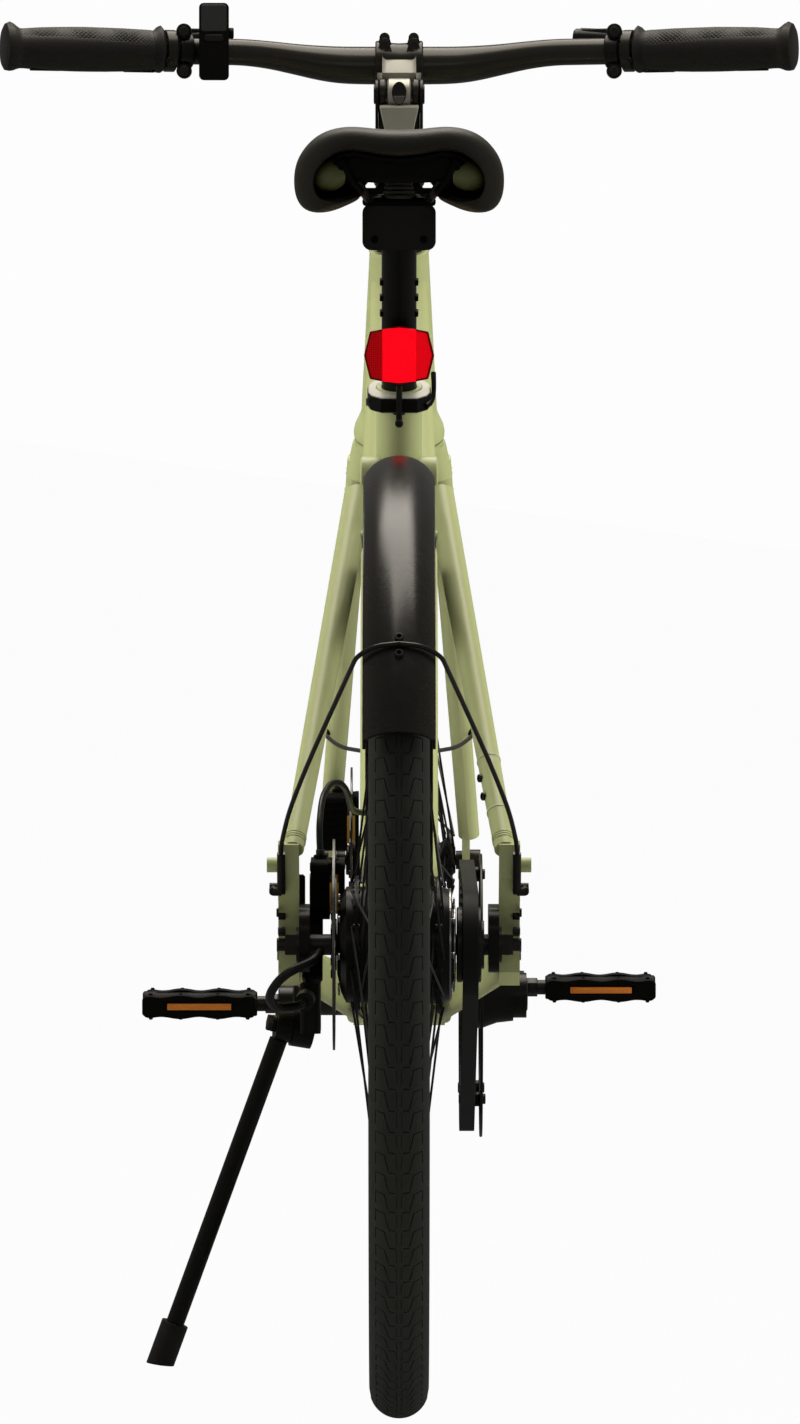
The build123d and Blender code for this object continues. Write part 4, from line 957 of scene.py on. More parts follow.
def crank(name, node, side):
    """Forged crank arm with a fluted face, bolt cap and pedal spindle."""
    bm = bmesh.new()
    face = CRANK_FACES[side]
    out = X * side
    reach = PEDALS[side] - BB
    reach.x = 0
    along = reach.normalized()
    place = oriented(along, out.cross(along), out, BB + X * (face - 11.0 * side))
    outline = arc_points(18, 80, 280, 26) + [(60, -12.6), (110, -11.4)]
    outline += arc_points(13.5, -95, 95, 20, (reach.length, 0)) + [(110, 11.4), (60, 12.6)]
    plate(bm, place, outline, 10.8, 2.4)
    flute = [(34, -5.5), (128, -4.4), (136, 0), (128, 4.4), (34, 5.5), (26, 0)]
    plate(bm, place, flute, 0.35, paint=1, lift=10.55)
    cap = aimed(BB + X * (face - 0.4 * side), out)
    lathe(bm, cap, [(0, 12.5), (1.0, 12.0), (1.2, 8.8), (0.6, 0)], 40, 1)
    eye = PEDALS[side].copy()
    eye.x = face
    boss = [(0, 0), (0, 11.4), (0.8, 12.0), (11.4, 12.0), (12.2, 11.2), (12.2, 0)]
    lathe(bm, aimed(eye - out * 11.6, out), boss, 36)
    bar(bm, eye, eye + out * 10.8, 7.8, sides=6, rim=0.6, paint=1)
    bar(bm, eye + out * 10.5, eye + out * (PEDAL_START + PEDAL_LENGTH - 6), 6.0, paint=1)
    if side > 0:
        root = [
            (58.4, 12.2), (58.4, 24.5), (60, 26.5), (67, 26), (78, 22), (91.2, 20.5),
            (91.2, 12.2),
        ]
        lathe(bm, along_x(BB), root, closed=True)
    piece(name, bm, [black_satin, dark_steel], "crank", node)


crank("crank_left_arm", "crank_left", -1)
crank("crank_right_arm", "crank_right", 1)


def pedal(name, node, body, side):
    """Platform pedal: wavy moulded rails, grip cones, barrel, reflectors and end cap."""
    bm = bmesh.new()
    hub = PEDALS[side].copy()
    hub.x = CRANK_FACES[side] + PEDAL_START * side
    centre = hub + X * side * PEDAL_LENGTH / 2

    def grip_cones(x, y, z, height, radius, tip):
        for up in SIDES:
            foot = centre + Vector((x, y, up * z))
            bar(bm, foot, foot + Z * up * height, radius, tip, sides=12)

    wave = []
    for step in range(33):
        share = step / 32
        bulge = 9.6 - 1.7 * (0.5 - 0.5 * math.cos(share * math.tau * 3))
        ends = min(1.0, min(share, 1 - share) * 14)
        wave.append((-44.5 + 89 * share, bulge * (0.62 + 0.38 * math.sqrt(ends))))
    outline = wave + [(x, -z) for x, z in reversed(wave)]
    window = [(-26.5, -3.6), (26.5, -3.6), (26.5, 3.6), (-26.5, 3.6)]
    for near in SIDES:
        place = oriented(X, Z * near, -Y * near, centre + Y * near * 31.2)
        plate(bm, place, outline, 12.8, 1.1, [window], lift=-6.4)
        block(bm, centre + Y * near * 33.5, (53.5, 5.5, 7.6), 0.3)
        block(bm, centre + Y * near * 36.6, (50, 1.4, 5.2), 0.6, paint=2)
        for share in (-0.42, -0.16, 0.16, 0.42):
            grip_cones(share * PEDAL_LENGTH, near * 31.5, 6.6, 3.7, 2.6, 1.2)
    for end in SIDES:
        block(bm, centre + X * end * 39.5, (10, 56, 12.5), 1.8)
        for y in (-15, 15):
            grip_cones(end * 39, y, 5.2, 3.6, 2.4, 1.1)
    for along in (-20, 0, 20):
        block(bm, centre + X * along, (4.5, 56, 6.5), 1.0)
    block(bm, centre, (66, 22, 9.0), 2.0)
    barrel = [
        (0.2, 6.3), (0.2, 9.0), (1.2, 9.8), (9, 9.8), (12, 8.6), (78, 8.6), (81, 9.8),
        (88.6, 9.8), (89.8, 8.4), (89.8, 0),
    ]
    lathe(bm, aimed(hub, X * side), barrel, 32)
    piece(name, bm, [moulded, dark_steel, amber_prism], body, node)


pedal("pedal_left_platform", "pedal_left", "left_pedal", -1)
pedal("pedal_right_platform", "pedal_right", "right_pedal", 1)

# ---------------------------------------------------------------- handlebar and stem

BAR_CENTRE = on_steering(0, 97, 708)
BAR_TIP = Vector((333, -68, 13.5))
BAR_SHOULDER = Vector((136, -18, 11))
GRIP_DIR = (BAR_TIP - BAR_SHOULDER).normalized()


def on_bar(distance_in, side):
    """Point on the handlebar's grip line, this far in from its end."""
    return BAR_CENTRE + mirrored(BAR_TIP - GRIP_DIR * distance_in, side)


def handlebar():
    """Swept and tapered bar, thick where the stem holds it."""
    bm = bmesh.new()
    half = [
        (0, 0, 0, 15.9), (24, 0, 0, 15.9), (48, -0.5, 0.3, 15.6), (66, -3.5, 2.0, 14.6),
        (86, -8.0, 5.0, 12.9), (108, -13, 8.6, 11.6), (130, -17.6, 10.9, 11.1),
        (150, -21.6, 11.2, 11.1), (240, -44.4, 12.3, 11.1), (327, -66.5, 13.5, 11.1),
    ]
    whole = [(-x, y, z, r) for x, y, z, r in half[:0:-1]] + half
    tube(bm, [BAR_CENTRE + Vector(row[:3]) for row in whole], 1.0, 32, [row[3] for row in whole])
    piece(
        "swept_handlebar", bm, [bar_finish], "steering", "handlebar", crease=50
    )


handlebar()


def stem():
    """Adjustable stem: steerer clamp, three-knuckle hinge with its plug, and eared bar clamp."""
    bm = bmesh.new()
    foot = [(0, 14.4), (0, 20.2), (1.2, 21), (9, 21), (13, 18.5), (13, 14.4)]
    lathe(bm, aimed(on_steering(0, 0, 638.2), STEER_UP), foot, closed=True)
    side_on = oriented(STEER_OUT, STEER_UP, X, on_steering(0, 0, 0))
    cheek = [(-17, 650), (17, 650), (16, 690), (14.5, 708)]
    cheek += arc_points(14.2, -12, 192, 18, (0, 716)) + [(-14.5, 708), (-16.5, 690)]
    for start in (-19.8, 17.3):
        plate(bm, side_on, cheek, 2.5, 0.8, lift=start)
    body = [
        (-18.0, 648), (18.5, 648), (17, 690), (15, 706), (6, 716), (-8, 716), (-14, 708),
        (-16, 690),
    ]
    plate(bm, side_on, body, 34.4, 1.4, lift=-17.2)
    rear_face = oriented(X, STEER_UP, -STEER_OUT, on_steering(0, -13.5, 682))
    lower = [(-16.5, 32), (16.5, 32), (12.4, 12), (8, -12), (-8, -12), (-12.4, 12)]
    plate(bm, rear_face, lower, 5.0, 1.0, paint=2)
    for side in SIDES:
        for up in (650, 664):
            cap_screw(bm, on_steering(side * 12, -17.6, up), -STEER_OUT, 3.2, 2.0)
    hinge = on_steering(0, 0, 718)
    for x, wide, skin in ((-13.95, 6.0, 1), (13.95, 6.0, 1), (0, 19.6, 2)):
        sleeve(bm, aimed(hinge + X * (x - wide / 2), X), 0, 13.2, wide, 1.3, 1.8, paint=skin)
    for side in SIDES:
        cap_screw(bm, hinge + X * side * 19.6, X * side, 8.2, 1.6)
    plug = []
    for across, up in ring_of(32, 1):
        plug.append((6.2 * across * (1.0 if up > 0 else 0.93), 9.7 * up))
    plug_place = oriented(X, Z, -Y, hinge + Vector((0, -12.2, 0.6)))
    plate(bm, plug_place, plug, 2.4, 0.6)
    # the plug's lower half in stem_shade, a darker copy of the pale face: painted shade
    lens = [(x * 0.84, y * 0.88 - 0.6) for x, y in plug[17:]]
    plate(bm, plug_place, lens, 0.5, 0.2, paint=3, lift=2.3)
    to_bar = BAR_CENTRE - hinge
    reach = to_bar.normalized()
    up = X.cross(reach) if X.cross(reach).z > 0 else -X.cross(reach)
    neck_place = oriented(X, up, reach, hinge)
    neck = bmesh.ops.create_cube(bm, size=1.0)["verts"]
    for vert in neck:
        tall, along = (18, to_bar.length - 10) if vert.co.z > 0 else (26, 5)
        vert.co = neck_place @ Vector((vert.co.x * 28.2, vert.co.y * tall, along))
    painted(faces_of(neck), 2)
    soften(bm, edges_of(neck), 4.2, 4)
    collar = [
        (-20, 15.95), (-20, 19.6), (-19, 20.8), (-15, 20.8), (-8, 19.2), (0, 18.7), (8, 19.2),
        (15, 20.8), (19, 20.8), (20, 19.6), (20, 15.95),
    ]
    lathe(bm, aimed(BAR_CENTRE, X), collar, 56, 1, closed=True)
    for side in SIDES:
        for high in SIDES:
            for tall, near, thick in ((18.4, -15.5, 7.0), (23.2, -7.5, 17.0)):
                horn = arc_points(4.4, -8, 188, 14, (0, tall))
                horn += [(-5.6, tall - 5), (-7.6, 6), (7.6, 6), (5.6, tall - 5)]
                start = Vector((side * 12.2, near if high < 0 else near + thick, 0))
                place = oriented(X, Z * high, -Y * high, BAR_CENTRE + start)
                plate(bm, place, horn, thick, 1.2, paint=1)
            ear = BAR_CENTRE + Vector((side * 12.2, -15.6, high * 15.4))
            lathe(bm, aimed(ear, -Y), [(0.9, 3.9), (0.9, 2.9), (-3.5, 2.7), (-3.5, 0)], 20)
            cap_screw(bm, ear + Y * 25.2, Y, 4.0, 3.4)
    skins = [black_satin, anodised, stem_pale, stem_shade]
    piece("adjustable_stem", bm, skins, "steering", "stem")


stem()


def headset():
    """Upper bearing cover and the spacer rings above it."""
    bm = bmesh.new()
    for low, high, radius in (
        (582.6, 594, 21.5), (594.3, 602, 18.6), (602.4, 612, 18.6), (612.4, 622, 18.6),
        (622.4, 638, 18.8),
    ):
        place = aimed(on_steering(0, 0, low), STEER_UP)
        sleeve(bm, place, 14.4, radius, high - low, 0.7)
    piece("headset_rings", bm, [anodised], "steering", "headset_spacers")


headset()

# ---------------------------------------------------------------- grips, levers and display


def grip(name, node, side):
    """Rubber grip: raised ends, a knurled palm and a smooth underside."""
    bm = bmesh.new()
    start = on_bar(139.5, side)
    out = mirrored(GRIP_DIR, side)
    shape = [(0, 11.15), (0, 15.2), (0.8, 17.6), (2.4, 18.6), (5.2, 18.4), (7.5, 17.2), (9.5, 16.6)]
    for index in range(119):
        along = 10.5 + index * 0.95
        swell = math.sin(math.pi * min(1.0, along / 118) ** 1.25) ** 0.8
        shape.append((along, 16.7 + 1.9 * swell))
    shape += [(125.5, 17.6), (128, 18.6), (131, 19.0), (134.5, 18.4), (136.2, 15.5), (136.4, 0)]
    place = aimed(start, out)
    lathe(bm, place, shape, 132)
    back = place.inverted()
    up = (Z - out * out.z).normalized()
    rear = out.cross(up)
    rear = rear if rear.y < 0 else -rear
    for vert in bm.verts:
        along = (back @ vert.co).z
        spoke = vert.co - start - out * along
        if spoke.length < 12:
            continue
        turn = math.atan2(spoke.dot(up), spoke.dot(rear))
        lift = 0.0
        for middle, reach, amount in ((2.6, 5.0, 2.6), (131.5, 9.0, 3.4)):
            near = max(0.0, 1 - abs(along - middle) / reach)
            lift += amount * near * max(0.0, math.sin(turn)) ** 2
        edge = 0.25 + 0.0035 * abs(along - 20)
        if 11 < along < 123 and edge < turn < math.pi - 0.25:
            fade = min(1.0, (turn - edge) / 0.12, (along - 11) / 2.5, (123 - along) / 2.5)
            u, v = along / 3.7, turn * 18.0 / 3.4
            knurl = min(abs((u + v) % 1 - 0.5), abs((u - v) % 1 - 0.5))
            lift += fade * (2.6 * knurl - 0.65)
        vert.co += spoke.normalized() * lift
    for along in (20, 60, 100):
        spot = start + out * along - up * 17.6
        block(bm, spot, (26, 7, 1.6), 0.7, oriented(out, rear, up).to_3x3())
    piece(name, bm, [rubber], "steering", node, crease=40)


grip("knurled_grip_left", "grip_left", -1)
grip("knurled_grip_right", "grip_right", 1)


def brake_lever(name, node, side):
    """Lock ring, split clamp with two screws, master cylinder and curved lever blade."""
    bm = bmesh.new()
    out = mirrored(GRIP_DIR, side)
    sleeve(bm, aimed(on_bar(149.5, side), out), 11.2, 17.6, 8.8, 0.6, 0.8, paint=1)
    cap_screw(bm, on_bar(145, side) + Vector((0, -16.4, -8.2)), -Y, 2.4, 1.4)
    middle = on_bar(158, side)
    sleeve(bm, aimed(middle - out * 6.2, out), 11.3, 14.6, 12.4, 1.0, steps=40)
    for high in SIDES:
        spot = middle + Vector((0, -6, high * 16.6))
        bar(bm, spot - Y * 6.5, spot + Y * 14, 6.4, sides=28, rim=1.4)
        cap_screw(bm, spot - Y * 6.2, -Y, 4.2, 2.2, paint=2)
    block(bm, middle + Vector((0, 24, 8)), (15, 26, 11), 3.0)
    inner = middle - out * 34 + Vector((0, 31, 12))
    outer = middle + out * 12 + Vector((0, 33, 9))
    long = (outer - inner).length
    cylinder = [
        (0, 0), (0, 6.8), (1.4, 8.2), (5, 8.4), (5.4, 9.0), (long - 10, 9.2), (long - 4, 8.6),
        (long, 6.4), (long, 0),
    ]
    lathe(bm, aimed(inner, outer - inner), cylinder, 36)
    level = oriented(out, Z.cross(out), Z).to_3x3()
    block(bm, (inner + outer) / 2 + Z * 5.2, (34, 14, 8), 2.4, level)
    pivot = outer + Vector((0, 4, -3))
    bar(bm, pivot - Z * 9, pivot + Z * 9, 4.6, rim=0.9, paint=2)
    blade = [
        outer + out * along + Vector((0, y, z))
        for along, y, z in (
            (-4, 3, -2), (14, 12, -3), (34, 19, -4), (62, 17, -7), (90, 12.5, -10),
            (110, 12, -12), (116, 16, -12.5),
        )
    ]
    tube(bm, blade, 4.4, 16, [1.1, 1.05, 0.95, 0.9, 0.85, 0.95, 1.15], paint=1)
    piece(name, bm, [black_satin, anodised, dark_steel], "steering", node)


brake_lever("hydraulic_brake_lever_left", "brake_lever_left", -1)
brake_lever("hydraulic_brake_lever_right", "brake_lever_right", 1)


def display():
    """Slim display on a band round the bar: screen towards the rider, slot button below it."""
    bm = bmesh.new()
    middle = on_bar(184, -1)
    centre = middle + Vector((0, -22, 8))
    face = oriented(X, Z, -Y, centre + Y * 6)
    case_half = 32.2
    outline = rounded(8.4, case_half - 4.0, 4.0, 7)
    plate(bm, face, outline, 12.0, 1.5)
    glass = [(x * 0.86, 19.6 + (z / case_half) * 11.0) for x, z in outline]
    plate(bm, face, glass, 0.5, 0.2, paint=1, lift=11.9)
    lower = [(x * 0.88, -15.8 + (z / case_half) * 15.0) for x, z in outline]
    plate(bm, face, lower, 0.4, 0.2, lift=11.9)
    button, groove = (
        arc_points(r, -90, 90, 9, (5.6, 3.0)) + arc_points(r, 90, 270, 9, (-5.6, 3.0))
        for r in (2.6, 3.3)
    )
    plate(bm, face, groove, 0.5, holes=[button], lift=11.9)
    plate(bm, face, button, 0.9, 0.3, paint=2, lift=11.9)
    bar(bm, centre + Vector((12, 2, 7)), centre + Vector((16.5, 2, 7)), 4.6, rim=1.0)
    along = mirrored(GRIP_DIR, -1)
    for shift in (-7.5, 4.5):
        sleeve(bm, aimed(middle + along * shift, along), 11.3, 15.2, 3.2, 0.6, steps=40)
    block(bm, middle + Vector((0, -11.5, 6)), (14, 14, 16), 2.0)
    skins = [moulded, screen, black_satin]
    piece("bar_display", bm, skins, "steering", "display")


display()


def headlight():
    """Front lamp: ribbed housing, clear lens and a bracket to the crown."""
    bm = bmesh.new()
    back = on_steering(0, 52, 414)
    place = oriented(X, -Z, Y, back)
    housing = [
        (0, 0), (0, 10), (3, 14.5), (10, 16.6), (12, 16.6), (13, 15.4), (15, 15.4), (16, 17.2),
        (18, 17.2), (19, 16.0), (21, 16.0), (22, 17.8), (38, 18.6), (42, 18.6), (43.5, 17.6),
        (43.5, 15.4), (41.5, 15.2),
    ]
    lathe(bm, place, housing, 56)
    lathe(bm, place, [(41.5, 15.4), (42.2, 12), (43.0, 7), (43.3, 0)], 56, 1)
    wider = Matrix.Translation(-back)
    bmesh.ops.scale(bm, vec=(1.24, 1, 0.9), verts=bm.verts[:], space=wider)
    bar(bm, on_steering(0, 14, 392), back + Y * 2, 6.0, 5.2, rim=1.0)
    piece("front_lamp", bm, [moulded, lamp_lens], "steering", "headlight")


headlight()

# ---------------------------------------------------------------- saddle

SADDLE_OUTER = [
    (0, 974.2), (18, 974.8), (37, 977.6), (54, 975.2), (67, 968.5), (77, 957), (81.6, 946),
    (82.6, 934), (81, 921), (74, 911.6), (62, 909.6), (50, 911.8), (39, 916.8), (30, 921),
]
SADDLE_INNER = [
    (0, 953), (18, 955), (36, 958.5), (48, 956.5), (58, 950.5), (65, 943), (69, 936), (69, 929),
    (66, 924), (60, 921), (54, 921.5), (46, 923), (38, 925), (31, 925.5),
]
SADDLE_TOP = 977.0
SADDLE_HALF = 82.6
SADDLE_BACK = 112.0
SADDLE_STATIONS = [
    # distance ahead of the back, half width, crown height, share of the rear depth, inset, hollow
    (1.0, 72.0, 972.5, 0.90, 6.5, 1.0),
    (3.5, 78.5, 975.5, 0.96, 2.5, 1.0),
    (10.0, 80.8, 976.6, 0.99, 0.5, 1.0),
    (26.0, 81.6, 977.0, 1.00, 0.0, 1.0),
    (52.0, 79.5, 977.2, 0.95, 0.0, 1.0),
    (82.0, 73.0, 976.6, 0.84, 0.0, 1.0),
    (112.0, 61.5, 975.6, 0.72, 0.0, 1.0),
    (145.0, 47.0, 974.4, 0.62, 0.0, 1.0),
    (180.0, 34.0, 972.6, 0.54, 0.0, 1.0),
    (215.0, 26.0, 970.0, 0.48, 0.0, 1.0),
    (243.0, 21.5, 966.6, 0.43, 0.0, 0.5),
    (255.0, 18.0, 963.0, 0.36, 0.5, 0.02),
    (261.5, 13.0, 957.5, 0.28, 2.0, 0.0),
]
# the moulded base starts here, ahead of the cover's rolled back
BASE_BACK = (14.0, 79.0, 976.0, 0.99, 0.0, 1.0)
BACK_CURVE = 0.0022
CURVE_END = 150.0
LIP_TOP = 930.0
LIP_END = 921.0
LIP_SWEEP = 24.0
LIP_OUTER, LIP_INNER = 60.0, 30.0


def saddle_point(point, centre_line, station):
    """Place one outline point of the rear section at a station along the saddle."""
    ahead, half, top, depth, inset, _ = station
    toward = Vector(centre_line) - Vector(point)
    moved = Vector(point) + toward.normalized() * min(inset, toward.length * 0.8)
    x = moved.x * (half / SADDLE_HALF)
    z = top - (SADDLE_TOP - moved.y) * depth
    swept = BACK_CURVE * x * x
    if moved.y < LIP_TOP:
        inward = (LIP_OUTER - abs(moved.x)) / (LIP_OUTER - LIP_INNER)
        swept += LIP_SWEEP * min(1.0, max(0.0, inward))
    y = SADDLE_BACK + ahead + swept * max(0.0, 1 - ahead / CURVE_END)
    return Vector((x, y, z))


def saddle_body(outer, inner, stations):
    """Loft a hollow section along the saddle by drawing its back strip forward."""
    bm = bmesh.new()

    def spots_at(station):
        """The outer and the inner line's points; the hollow closes onto the lips."""
        shaped = [(x, LIP_END + (z - LIP_END) * station[5]) for x, z in inner]
        middle = [((a[0] + b[0]) / 2, (a[1] + b[1]) / 2) for a, b in zip(outer, shaped)]
        spots = []
        for line in (outer, shaped):
            right = list(zip(line, middle))
            left = [((-p[0], p[1]), (-m[0], m[1])) for p, m in right[:0:-1]]
            spots += [saddle_point(p, m, station) for p, m in left + right]
        return spots

    def key(vert):
        return tuple(round(number, 4) for number in vert.co)

    row = [bm.verts.new(spot) for spot in spots_at(stations[0])]
    across = len(row) // 2
    band = [
        bm.faces.new((row[i], row[i + 1], row[across + i + 1], row[across + i]))
        for i in range(across - 1)
    ]
    for step, station in enumerate(stations[1:]):
        order = {key(vert): index for index, vert in enumerate(row)}
        raised = bmesh.ops.extrude_face_region(bm, geom=band)["geom"]
        if step:
            bmesh.ops.delete(bm, geom=band, context="FACES")
        band = only(bmesh.types.BMFace, raised)
        row = sorted(only(bmesh.types.BMVert, raised), key=lambda vert: order[key(vert)])
        for vert, spot in zip(row, spots_at(station)):
            vert.co = spot
    return bm


def saddle_cover():
    """Padded cover: a crowned hide over moulded foam, rolled in under its rim."""
    bm = saddle_body(SADDLE_OUTER, SADDLE_INNER, SADDLE_STATIONS)
    cover = piece(
        "padded_saddle", bm, [hide], "frame", "saddle_cover", crease=180,
        weld=0.01, levels=2,
    )


saddle_cover()


def saddle_base():
    """The moulded base under the cover, its inset pads, struts and screws."""
    outer = [(x * 0.985, z - 0.8) for x, z in SADDLE_INNER[:9]]
    inner = [(x * 0.95, z - 3.6) for x, z in SADDLE_INNER[:9]]
    under = [(a + 7, h - 1, t, d, 0.0, 1.0) for a, h, t, d, _, _ in SADDLE_STATIONS[3:-3]]
    bm = saddle_body(outer, inner, [BASE_BACK, *under])
    for side in SIDES:
        pad = ball(bm, (0, 0, 0), 1.0, paint=1, segments=28)
        for vert in pad:
            x, y, z = vert.co
            vert.co = Vector((side * (52.0 + 14.5 * x - 3.0 * z), 142 + 20 * y, 939.5 + 12.5 * z))
        strut = [(46, 128, 951), (41, 132, 942), (36, 140, 932), (30, 150, 927)]
        tube(bm, [mirrored(spot, side) for spot in strut], 4.8, 14, [1.1, 1.0, 0.9, 0.8])
        cap_screw(bm, Vector((side * 44, 126, 946)), -Y, 3.0, 2.0)
        block(bm, (side * 27, 215, 945), (22, 110, 4), 1.5)
    wall = [
        (-40, 955), (-22, 958), (22, 958), (40, 955), (46, 944), (38, 935), (16, 933.5),
        (-16, 933.5), (-38, 935), (-46, 944),
    ]
    plate(bm, oriented(X, Z, -Y, Vector((0, 150, 0))), wall, 14.0, 3.0)
    piece("saddle_base", bm, [moulded, pad_green], "frame", "saddle_shell")


saddle_base()

# ---------------------------------------------------------------- seat post, clamp and reflector

POST_HEAD = on_seat_tube(648)
POST_RADIUS = 13.6


def bellows():
    """Four rings of the suspension head's rubber bellows."""
    bm = bmesh.new()
    for index in range(4):
        spot = Vector((0, POST_HEAD.y - 14, 922 + index * 3.4))
        fold = [(0, 0), (0, 12.6), (0.8, 13.6), (2.4, 13.6), (3.3, 12.0), (3.3, 0)]
        lathe(bm, aimed(spot, Z), [(up, max(0, r - index)) for up, r in fold], 36)
    piece("suspension_bellows", bm, [bellows_rubber], "frame")


bellows()


def seat_post_fittings():
    """Screws of the seat post head, and the teeth on both sides of the post."""
    bm = bmesh.new()
    block(bm, (0, POST_HEAD.y - 4, POST_HEAD.z + 18.2), (57, 40, 6.5), 2.2)
    tooth = oriented(X, SEAT_BACK, SEAT_UP).to_3x3()
    for side in SIDES:
        cap_screw(bm, Vector((side * 19, POST_HEAD.y - 22.3, POST_HEAD.z - 11)), -Y, 3.0, 1.0)
        for height in (857.9, 845.8, 833.7):
            spot = on_seat_tube((height - BB.z) / SEAT_UP.z, 1.5, side * POST_RADIUS)
            block(bm, spot, (3.0, 7.0, 4.6), 0.7, tooth)
    piece("seat_post_fittings", bm, [cast_black], "frame")


seat_post_fittings()


def seat_clamp():
    """Clamp at the top of the seat tube, with its collar, lever and cable end."""
    bm = bmesh.new()
    low = 502.5
    shape = arc_points(24.8, 0, 180, 40) + [(-24.8, -12), (-22.5, -20), (-14.2, -27.3)]
    shape += [(14.2, -27.3), (22.5, -20), (24.8, -12)]
    place = oriented(X, -SEAT_BACK, SEAT_UP, on_seat_tube(low))
    bore = [ring_of(48, 18.1)]
    plate(bm, place, shape, 11.6, 0.9, bore)
    # thin pale sheet over the clamp's top face: painted highlight
    plate(bm, place, [(x * 0.97, y * 0.97) for x, y in shape], 1.0, 0.3, bore, 1, lift=11.5)
    collar = [(0, 14.2), (0, 18.0), (17.0, 18.0), (17.6, 17.4), (17.6, 14.2)]
    lathe(bm, aimed(on_seat_tube(498), SEAT_UP), collar, paint=2, closed=True)
    for side in SIDES:
        cap_screw(bm, on_seat_tube(low + 5.6, 16, side * 24.8), X * side, 3.2, 1.0)
    rod = [(524, 24), (514, 28.5), (508, 30), (503, 33), (499, 36)]
    tube(bm, [on_seat_tube(*spot) for spot in rod], 2.4, 14)
    ball(bm, on_seat_tube(497.5, 37), 3.3)
    lever = [(507, 22, 21), (508, 19, 25), (513, 12, 27), (520, 4, 27.2), (525, -4, 26.8)]
    tube(bm, [on_seat_tube(*spot) for spot in lever], 1.9, 14, [1.3, 1.15, 1.0, 1.0, 1.1])
    bar(bm, on_seat_tube(500, 20), on_seat_tube(508, 20), 5.0, sides=28)
    skins = [black_satin, clamp_top_highlight, avocado]
    piece("seat_quick_release", bm, skins, "frame", "seat_clamp")


seat_clamp()


def reflector():
    """Eight-sided red reflector in a dark rim, on a ring round the seat post."""
    bm = bmesh.new()
    base = on_seat_tube(546, 13.9)
    back = Vector((0, base.y - 11.0, base.z))
    place = oriented(X, Z, -Y, back)
    eight = [
        (0, 23), (22.8, 18.4), (27.4, 0), (22.8, -18.4), (0, -23), (-22.8, -18.4), (-27.4, 0),
        (-22.8, 18.4),
    ]
    inner = [(x * 0.945, z * 0.935) for x, z in eight]
    plate(bm, place, eight, 5.2, 0.8)
    plate(bm, place, eight, 1.6, 0.5, [inner], 3, lift=5.0)
    plate(bm, place, inner, 1.1, paint=1, lift=5.0)
    panel = [(-13.0, 20.2), (0, 21.6), (13.0, 20.2), (13.0, -20.2), (0, -21.6), (-13.0, -20.2)]
    plate(bm, place, panel, 0.9, 0.3, paint=2, lift=6.0)
    rows = [(13.4, 19.0), (21.2, 17.0), (25.2, 0), (21.2, -17.0), (13.4, -19.0)]
    plate(bm, place, rows, 0.6, 0.2, paint=4, lift=6.0)
    sleeve(bm, aimed(on_seat_tube(540), SEAT_UP), 13.8, 17.6, 14, 0.6)
    bar(bm, on_seat_tube(546, 15), back + Y * 0.5, 5.2)
    cap_screw(bm, on_seat_tube(546, 0, 17.4), X, 3.4, 2.2)
    skins = [moulded, red_prism, red_panel, red_edge, red_rows]
    piece("red_reflector", bm, skins, "frame", "rear_reflector")


reflector()

# ---------------------------------------------------------------- brakes

PAD_GAP = 3.4


def caliper(name, node, low, high, slot_x, body, port):
    """Two-piston caliper: split body, pads, screws, hose banjo and adapter."""
    bm = bmesh.new()
    low, high, port = Vector(low), Vector(high), Vector(port)
    centre = (low + high) / 2
    deep = high.y - low.y
    half_y, half_z = (high - low).yz / 2
    left_wide = slot_x - PAD_GAP - low.x
    outline = rounded(half_y - 9, half_z - 9, 8.6, 8)
    for start, wide in ((low.x, left_wide), (slot_x + PAD_GAP, high.x - slot_x - PAD_GAP)):
        place = along_x(Vector((start, centre.y, centre.z)))
        plate(bm, place, outline, max(wide, 2.0), 1.6)
    for sign in SIDES:
        at = Vector((slot_x, centre.y + sign * (half_y - 6.5), high.z - 6))
        bar(bm, at - X * 5, at + X * 5, 5.2)
        pad = Vector((slot_x + sign * 2.5, centre.y - 1.5, centre.z - 6))
        block(bm, pad, (2.6, deep - 4, 24), 0.4, paint=1)
        block(bm, pad + Vector((0, 0.5, 16)), (2.6, deep - 22, 10), 0.4, paint=1)
    cap = [(0, 0), (0, 13.5), (0.8, 13.5), (1.2, 12.6), (1.2, 10.2), (0.2, 9.6), (0.2, 0)]
    lathe(bm, aimed(Vector((low.x + 0.3, centre.y, centre.z - 2)), -X), cap, 40, 2)
    for back, up in ((1, 1), (-1, -1), (1, -1)):
        spot = Vector((low.x, centre.y + back * (half_y - 8), centre.z + up * (half_z - 8)))
        cap_screw(bm, spot, -X, 3.6, 1.0, paint=2)
    bar(bm, port - Z * 8, port + Z * 3, 5.2, rim=1.0)
    bar(bm, port + Z * 2, port + Z * 7, 3.4, sides=18, rim=0.6, paint=2)
    for index in range(int((high.z - low.z) // 6) - 2):
        fin = Vector((low.x + left_wide / 2, low.y + 0.4, low.z + 12 + index * 6))
        block(bm, fin, (left_wide * 0.72, 2.4, 2.4), 0.6)
    piece(name, bm, [cast_black, brass, dark_steel], body, node)


caliper(
    "rear_disc_caliper", "rear_brake_caliper", (-67.2, 34, 373.5), (-41.4, 92, 419.5), -49.2,
    "frame", (-60, 64, 419),
)


